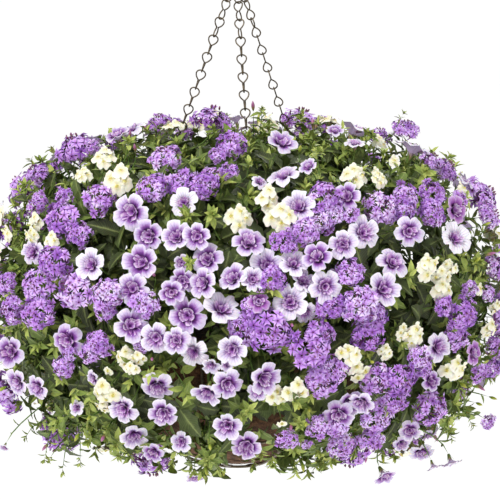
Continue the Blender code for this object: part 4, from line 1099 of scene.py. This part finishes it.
# Side shoots, and places left bare for the photo's darks as x, y and radius. The free sprigs of the photo
# are x and y of the tip in its pixels, and whether it rises or hangs.
twigSet = dict(
    twigs=650, tries=9000, room=0.62, depth=(0.002, 0.030), levels=(-0.80, 0.995), near=0.06, under=0.018,
    sway=0.35, inner=560, innerDepth=(0.030, 0.065), innerLevels=(-0.45, 0.99), innerSway=0.8,
    bare=((275, 440, 0.036), (194, 446, 0.020)), sprigLean=0.45,
    sprigs=((30, 158, 1), (52, 148, 1), (76, 146, 1), (120, 131, 1), (226, 117, 1), (262, 108, 1),
            (302, 112, 1), (366, 132, 1), (404, 112, 1), (432, 152, 1), (456, 164, 1), (18, 190, 1),
            (44, 462, -1), (62, 474, -1), (80, 466, -1), (118, 456, -1), (24, 440, -1), (206, 478, -1),
            (218, 470, -1), (296, 474, -1), (322, 466, -1), (452, 440, -1), (474, 428, -1)),
)


# The photo's small blooms and buds, and more strewn where no head is nearer than a share of both radii.
def moreHeads(points, sizes):
    size = extraSet
    kinds = [kind for kind, spots in smallSpots.items() for _ in spots]
    rows = np.array([spot for spots in smallSpots.values() for spot in spots], float)
    draw = np.random.default_rng(plantSet["seed"])
    places, toCamera = seenAt(rows[:, :2])
    places = places - toCamera * draw.uniform(0.0, size["seenDepth"], (len(rows), 1))
    facing = outward(places) * size["outShare"] + toCamera * size["cameraShare"]
    facing = list(unit(facing + draw.normal(0.0, size["seenSway"], places.shape)))
    places, radii = list(places), list(rows[:, 2] * lay["bloomPixel"])
    taken, room = np.concatenate((points, places)), np.concatenate((sizes, radii))
    names = list(size["radius"])
    for _ in range(size["tries"]):
        spot = onOutline(draw.uniform(*size["azimuths"]), math.acos(draw.uniform(*size["levels"])))
        kind = names[draw.choice(5, p=size["chances"])]
        radius = size["radius"][kind] * draw.uniform(*size["grow"])
        if (np.linalg.norm(taken - spot, axis=1) < size["room"] * (room + radius)).any():
            continue
        spot = spot - outward(spot) * draw.uniform(*size["depth"])
        taken, room = np.concatenate((taken, spot[None])), np.concatenate((room, (radius,)))
        kinds.append(kind)
        places.append(spot)
        radii.append(radius)
        facing.append(unit(outward(spot) + draw.normal(0.0, size["sway"], 3)))
        if len(kinds) >= len(rows) + size["heads"]:
            break
    return np.array(kinds), np.array(places), np.array(facing), np.array(radii)


# Tips of leafy side shoots at random depths, deeper behind a head; then the sprigs; then inner shoots. The
# last array is whether a shoot is an inner one.
def twigTips(points, sizes):
    size = twigSet
    draw = np.random.default_rng(plantSet["seed"] + 1)
    tips, ways = [], []
    bare = np.array(size["bare"])
    bareSpots = seenAt(bare[:, :2])[0]
    for _ in range(size["tries"]):
        spot = onOutline(draw.uniform(-180.0, 180.0), math.acos(draw.uniform(*size["levels"])))
        if (np.linalg.norm(bareSpots - spot, axis=1) < bare[:, 2]).any():
            continue
        normal = outward(spot)
        apart = points - spot
        level = np.linalg.norm(apart - (apart @ normal)[:, None] * normal, axis=1)
        near = np.linalg.norm(apart, axis=1) < size["near"]
        deep = draw.uniform(*size["depth"])
        if (near & (level < size["room"] * sizes)).any():
            deep += size["under"]
        tips.append(spot - normal * deep)
        ways.append(unit(normal + draw.normal(0.0, size["sway"], 3)))
        if len(tips) >= size["twigs"]:
            break
    sprigs = np.array(size["sprigs"], float)
    for spot, upward in zip(seenAt(sprigs[:, :2])[0], sprigs[:, 2]):
        tips.append(spot)
        ways.append(unit(np.array((0.0, 0.0, upward)) + size["sprigLean"] * outward(spot)))
    outer = len(tips)
    for _ in range(size["inner"]):
        spot = onOutline(draw.uniform(-180.0, 180.0), math.acos(draw.uniform(*size["innerLevels"])))
        tips.append(spot - outward(spot) * draw.uniform(*size["innerDepth"]))
        ways.append(unit(outward(spot) + draw.normal(0.0, size["innerSway"], 3)))
    return np.array(tips), np.array(ways), np.arange(len(tips)) >= outer


# Cubic curves from roots to necks that leave and arrive along the ways given, a third of the length out.
def bent(roots, necks, leave, arrive, stations=8):
    long = np.linalg.norm(necks - roots, axis=1)[:, None]
    one, two = roots + leave * long * 0.33, necks - arrive * long * 0.33
    t = np.linspace(0.0, 1.0, stations)[None, :, None]
    return ((1 - t) ** 3 * roots[:, None] + 3 * t * (1 - t) ** 2 * one[:, None]
            + 3 * t ** 2 * (1 - t) * two[:, None] + t ** 3 * necks[:, None])


# Leaves round each route at these shares of it, turned by the golden angle from one to the next.
def sproutLeaves(bunch, routes, draw, shares, blade, length, wide, openness, tone):
    count, stations = routes.shape[:2]
    shares = np.clip(np.asarray(shares) + draw.uniform(-0.05, 0.05, (count, len(shares))), 0.02, 0.98)
    at = shares * (stations - 1)
    low = np.clip(at.astype(int), 0, stations - 2)
    part = (at - low)[..., None]
    rows = np.arange(count)[:, None]
    here, there = routes[rows, low], routes[rows, low + 1]
    base = (here + (there - here) * part).reshape(-1, 3)
    tangent = unit(there - here).reshape(-1, 3)
    side = unit(np.cross(tangent, (0.12, 0.21, 1.0)))
    other = np.cross(tangent, side)
    turn = np.arange(shares.shape[1])[None] * plantSet["goldenTurn"] + draw.uniform(0, 6.3, (count, 1))
    turn = turn.reshape(-1, 1)
    out = np.cos(turn) * side + np.sin(turn) * other
    way = unit((1.0 - openness) * 1.6 * tangent + openness * out + draw.normal(0.0, 0.12, out.shape))
    face = 0.7 * outward(base) + 0.4 * tangent + np.array((0.0, 0.0, 0.3)) + draw.normal(0.0, 0.15, out.shape)
    addLeaves(bunch, base, way, face, blade, draw.uniform(*length, len(base)), wide, draw, tone)


# Blades from their bases along their ways, their upper sides towards face, shorter past the outline.
def addLeaves(bunch, base, way, face, blade, length, wide, draw, tone):
    over = envelope(base + way * length[:, None])
    length = np.where(over > plantSet["farthest"], length * plantSet["shortened"], length)
    upper = unit(face - way * (face * way).sum(axis=1, keepdims=True))
    axes = np.stack((np.cross(way, upper), way, upper), axis=-1)
    sizes = np.stack((length * wide * draw.uniform(*plantSet["bladeWidth"], len(base)), length, length),
                     axis=1)
    bunch.strew(leafy, blade, base, axes, sizes, draw.uniform(*tone, len(base)))


# Funnels, ruffs, tubes and calyxes, each bloom of one of the variants and with its own cup.
def addCalibrachoa(bunch, places, facing, sizes, tones, draw):
    turn = calibrachoaSet["turn"]
    axes = frames(facing, turn=draw.uniform(-turn, turn, len(places)))
    cups = draw.uniform(*calibrachoaSet["cups"], len(places))
    pick = draw.integers(0, len(trumpets), len(places))
    for index, (outer, ruff, tube) in enumerate(trumpets):
        chosen = pick == index
        where = places[chosen], axes[chosen], sizes[chosen], tones[chosen]
        bunch.strew(petal, outer, *where, cups[chosen])
        for skin, shape in ((ruffle, ruff), (throat, tube), (stemmy, calyx)):
            bunch.strew(skin, shape, *where)


# Florets over a flattened dome, jittered, facing along its normals, and a knot of dark buds on top.
def addVerbena(bunch, places, facing, sizes, tones, draw):
    size = verbenaSet
    axes = frames(facing)
    dome = np.array((size["wide"], size["wide"], size["high"]))
    largest = [row[0] for row in size["florets"][1:]] + [9.0]
    for (small, count), upper in zip(size["florets"], largest):
        chosen = (sizes >= small) & (sizes < upper)
        heads = int(chosen.sum())
        if not heads:
            continue
        centre, head, radii = places[chosen][:, None], axes[chosen], sizes[chosen]
        jitter = draw.normal(0.0, size["jitter"], (heads, count, 3))
        ways = unit(domeSpots(count, size["dome"])[None] + jitter)
        local = ways * dome + (0.0, 0.0, size["sink"])
        local = local * draw.uniform(*size["far"], (heads, count, 1)) * radii[:, None, None]
        normal = unit(ways / dome ** 2 + draw.normal(0.0, size["tilt"], ways.shape))
        where = (centre + carried(head, local)).reshape(-1, 3)
        look = carried(head, normal).reshape(-1, 3)
        ownAxes = frames(look, up=(0.3, 0.2, 0.93), turn=draw.uniform(0.0, 6.3, len(where)))
        radius = np.repeat(radii * size["reach"] / math.sqrt(count), count)
        radius = radius * draw.uniform(*size["grow"], len(where))
        tone = np.repeat(0.25 + 0.5 * tones[chosen], count)
        tone = tone + draw.uniform(-size["toneSway"], size["toneSway"], len(where))
        bunch.strew(violet, floret, where, ownAxes, radius, tone, draw.uniform(*size["cups"], len(where)))
        buds = size["buds"]
        knot = np.array((size["knotWide"], size["knotWide"], size["high"] + size["knotOver"]))
        tops = domeSpots(buds, size["knot"]) * knot + (0.0, 0.0, size["sink"] + size["knotUp"])
        where = centre + carried(head, tops) * radii[:, None, None]
        look = np.repeat(head[:, :, 2], buds, axis=0) + draw.normal(0.0, 0.2, (heads * buds, 3))
        width = np.repeat(radii, buds)[:, None] * np.array(size["bud"])
        bunch.strew(darkBud, smallBud, where.reshape(-1, 3), frames(look), width, 0.5)


# Small clusters: four blooms on each larger head, each turned a little its own way.
def addCream(bunch, places, facing, sizes, tones, draw):
    size, spots = creamSet, np.array(creamSet["cluster"])
    large = sizes > size["large"]
    axes = frames(facing)
    spots = carried(axes, spots[None] + draw.normal(0.0, size["spread"], (len(places), 4, 3)))
    many = places[:, None] + spots * sizes[:, None, None]
    looks = unit(facing[:, None] + 0.7 * spots + draw.normal(0.0, 0.15, spots.shape))
    places = np.concatenate((places[~large], many[large].reshape(-1, 3)))
    facing = np.concatenate((facing[~large], looks[large].reshape(-1, 3)))
    tones = np.concatenate((tones[~large], np.repeat(tones[large], 4)))
    sizes = np.concatenate((sizes[~large], np.repeat(sizes[large] * size["ofLarge"], 4)))
    axes = frames(facing, turn=draw.uniform(-size["turn"], size["turn"], len(places)))
    bunch.strew(cream, twoLips, places, axes, sizes, tones, draw.uniform(*size["cups"], len(places)))
    bunch.strew(throat, spur, places, axes, sizes, tones)
    bunch.strew(stemmy, calyx, places, axes, sizes * size["calyx"], tones)


# A shoot's tip: leaves in a spiral that get shorter and steeper towards its point.
def addWhorl(bunch, places, facing, sizes, draw):
    count = plantSet["whorl"]
    axes = frames(facing, turn=draw.uniform(0.0, 6.3, len(places)))
    share = np.linspace(0.0, 1.0, count)
    (low, more), (long, less) = plantSet["whorlRise"], plantSet["whorlLong"]
    rise = low + more * share ** 1.2
    local = polar(np.cos(rise), np.arange(count) * plantSet["goldenTurn"], np.sin(rise))
    way = carried(axes, local).reshape(-1, 3)
    way = unit(way + draw.normal(0.0, 0.20, way.shape))
    face = np.repeat(axes[:, :, 2], count, axis=0) + draw.normal(0.0, 0.25, way.shape)
    drop = np.tile(plantSet["whorlDrop"] * (1.0 - share), len(places))
    owners = np.repeat(sizes, count)
    base = np.repeat(places, count, axis=0) - np.repeat(facing, count, axis=0) * (drop * owners)[:, None]
    length = owners * np.tile(long - less * share, len(places)) * draw.uniform(0.75, 1.12, len(base))
    addLeaves(bunch, base, way, face, smallLeaf, length, 1.25, draw, (0.55, 1.2))


# All heads with their tones, the model's first: swollen to a largest radius, and the trumpets seen from the
# front swayed a little off their facing.
def allHeads():
    kinds, points, facing, sizes, pixels = headsOfModel()
    modelCount, seeds = len(points), plantSet["toneSeeds"]
    tones = np.random.default_rng(seeds[0]).uniform(0.0, 1.0, modelCount)
    for spots, tone in ownTones:
        for spot in spots:
            tones[(np.abs(pixels - spot) < 0.5).all(axis=1)] = tone
    more = moreHeads(points, sizes)
    tones = np.concatenate((tones, np.random.default_rng(seeds[1]).uniform(0.0, 1.0, len(more[0]))))
    pairs = zip((kinds, points, facing, sizes), more)
    kinds, points, facing, sizes = (np.concatenate(pair) for pair in pairs)
    sizes = sizes * np.array([plantSet["swell"][kind] for kind in kinds])
    sizes = np.minimum(sizes, [plantSet["largest"].get(kind, 1.0) for kind in kinds])
    sway = np.random.default_rng(plantSet["swaySeed"]).normal(0.0, plantSet["sway"], points.shape)
    swayed = (kinds == "calibrachoa") & (facing[:, 1] < plantSet["front"])
    return kinds, points, unit(facing + sway * swayed[:, None]), sizes, tones, modelCount


# Each spray with its stem, stalks, blooms, buds and leaves, as one piece that stands for its node. A head or
# shoot belongs to the spray whose end is nearest, and is rooted on the last stretch of its stem.
def growSprays():
    kinds, points, facing, sizes, tones, modelCount = allHeads()
    tips, ways, inner = twigTips(points, sizes)
    sprays = sprayLayout()
    surfaces = np.array([spray[3] for spray in sprays])
    owner, twigOwner = (np.linalg.norm(spots[:, None] - surfaces[None], axis=2).argmin(axis=1)
                        for spots in (points, tips))
    corners = {node: np.array([v.co[:] for v in thing.data.vertices])
               for node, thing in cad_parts.items() if "_spray_" in node}
    hold, stalkTone = plantSet["hold"], plantSet["stalkTone"]
    for index, spray in enumerate(sprays):
        draw = np.random.default_rng(plantSet["spraySeed"] + index)
        route = stemRoute(*spray)
        node = min(corners, key=lambda name: np.linalg.norm(corners[name] - route[0], axis=1).min())
        bunch = Bunch([stemmy, leafy, petal, ruffle, throat, violet, cream, pinkBud, greenBud, darkBud])
        stem = smoothRoute(route, 30)[None]
        bunch.add(stemmy, *tubes(stem, capped(np.linspace(*plantSet["stem"], 30)), 10), 0.4)
        start, end = route[-2], route[-1]
        reach, back = np.linalg.norm(start - end), unit(start - end)
        members = np.flatnonzero(owner == index)
        order = members[np.argsort(np.linalg.norm(points[members] - end, axis=1))]
        modelOnes, others = order[order < modelCount], order[order >= modelCount]
        order = np.concatenate((modelOnes, others))
        pitches = plantSet["firstRoot"] + lay["rootPitch"] * np.arange(len(modelOnes))
        steps = np.concatenate((np.minimum(pitches, reach),
                                draw.uniform(0.0, reach * plantSet["lastRoot"], len(others))))
        roots = end + back * steps[:, None]
        place, way, size, tone, kind = points[order], facing[order], sizes[order], tones[order], kinds[order]
        way = unit(way + hold * unit(place - roots))
        short = np.clip(plantSet["shortest"] * size - ((place - roots) * way).sum(axis=1), 0.0, None)
        place = place + short[:, None] * way
        necks = place - way * (np.array([plantSet["neck"][name] for name in kind]) * size)[:, None]
        leave = unit(unit(necks - roots) + hold * unit(end - start))
        stalks = bent(roots, necks, leave, way)
        bunch.add(stemmy, *tubes(stalks, capped(np.linspace(*plantSet["stalk"], 8)), 5),
                  draw.uniform(*stalkTone, len(order)))
        mine = twigOwner == index
        twigRoots = end + back * draw.uniform(0.0, reach, (int(mine.sum()), 1))
        shoots = bent(twigRoots, tips[mine], unit(tips[mine] - twigRoots), ways[mine], 5)
        deep = inner[mine]
        bunch.add(stemmy, *tubes(shoots, capped(np.linspace(*plantSet["shoot"], 5)), 3),
                  draw.uniform(*stalkTone, len(shoots)))
        for routes, leaves in ((shoots[~deep], "outerLeaves"), (shoots[deep], "innerLeaves"),
                               (stalks, "stalkLeaves")):
            for row in plantSet[leaves]:
                sproutLeaves(bunch, routes, draw, *row)
        chosen = {name: (bunch, place[kind == name], way[kind == name], size[kind == name])
                  for name in plantSet["neck"]}
        addCalibrachoa(*chosen["calibrachoa"], tone[kind == "calibrachoa"], draw)
        addVerbena(*chosen["verbena"], tone[kind == "verbena"], draw)
        addCream(*chosen["cream"], tone[kind == "cream"], draw)
        addWhorl(*chosen["leaf"], draw)
        for name, skin in (("pinkBud", pinkBud), ("greenBud", greenBud)):
            _, spots, looks, radii = chosen[name]
            bunch.strew(skin, bud, spots, frames(looks), radii, tone[kind == name])
        bunch.make(node)


makeHook()
for chain in chainAzimuths:
    makeChain(chain)
print("hook and chains made")
makeFrame()
makeLiner()
makeSoil()
print("basket made")
growSprays()
print("sprays made")

# Floor, light and camera. A lamp is its place, power and size.
stageSet = dict(
    floorHalf=60.0, floorZ=-1.6, light=0.58, shownMore=0.44, sensor=36.0,
    lamps=dict(key=((-1.1, -1.6, 1.3), 41.0, 0.7), fill=((1.6, -1.4, 0.2), 9.0, 1.4),
               back=((0.4, 1.9, 1.0), 16.0, 1.2)),
)


# Links a new object to the scene at a spot, looking at the target where there is one.
def staged(name, data, spot=(0.0, 0.0, 0.0), target=None):
    made = bpy.data.objects.new(name, data)
    bpy.context.scene.collection.objects.link(made)
    made.location = spot
    if target is not None:
        made.rotation_euler = aimAt(target - np.array(spot))
    return made


# Turns that point an object's -Z along the way, its Y nearest to up.
def aimAt(way):
    way = unit(np.asarray(way, float))
    return (math.acos(-way[2]), 0.0, math.atan2(-way[0], way[1]))


# A wide floor, a white world that is brighter to the camera than as a light, and three area lamps.
def makeStage():
    half, low = stageSet["floorHalf"], stageSet["floorZ"]
    mesh = bpy.data.meshes.new("floor")
    mesh.from_pydata([(-half, -half, low), (half, -half, low), (half, half, low), (-half, half, low)],
                     [], [(0, 1, 2, 3)])
    mesh.materials.append(pale)
    floor = staged("floor", mesh)
    world = bpy.data.worlds.new("paleWorld")
    world.use_nodes = True
    graph = Graph(world.node_tree)
    shown = graph.put("ShaderNodeLightPath").outputs["Is Camera Ray"]
    strength = graph.plus(stageSet["light"], graph.times(shown, stageSet["shownMore"]))
    background = world.node_tree.nodes["Background"]
    background.inputs[0].default_value = (1.0, 1.0, 1.0, 1.0)
    world.node_tree.links.new(strength, background.inputs[1])
    bpy.context.scene.world = world
    for name, (spot, power, size) in stageSet["lamps"].items():
        data = bpy.data.lights.new(name, "AREA")
        data.energy, data.size = power, size
        staged(name, data, spot, photoTarget())


# The photo's view: the lens shows as much at the target as the photo's pixels cover.
def makeCamera():
    data = bpy.data.cameras.new("photoCamera")
    data.sensor_width = stageSet["sensor"]
    data.lens = stageSet["sensor"] * lay["cameraDistance"] / (2.0 * lay["photoMiddle"] * lay["pixel"])
    bpy.context.scene.camera = staged("photoCamera", data, cameraSpot(), photoTarget())


makeStage()
makeCamera()
bpy.context.scene.view_settings.view_transform = "Standard"
print("stage made")
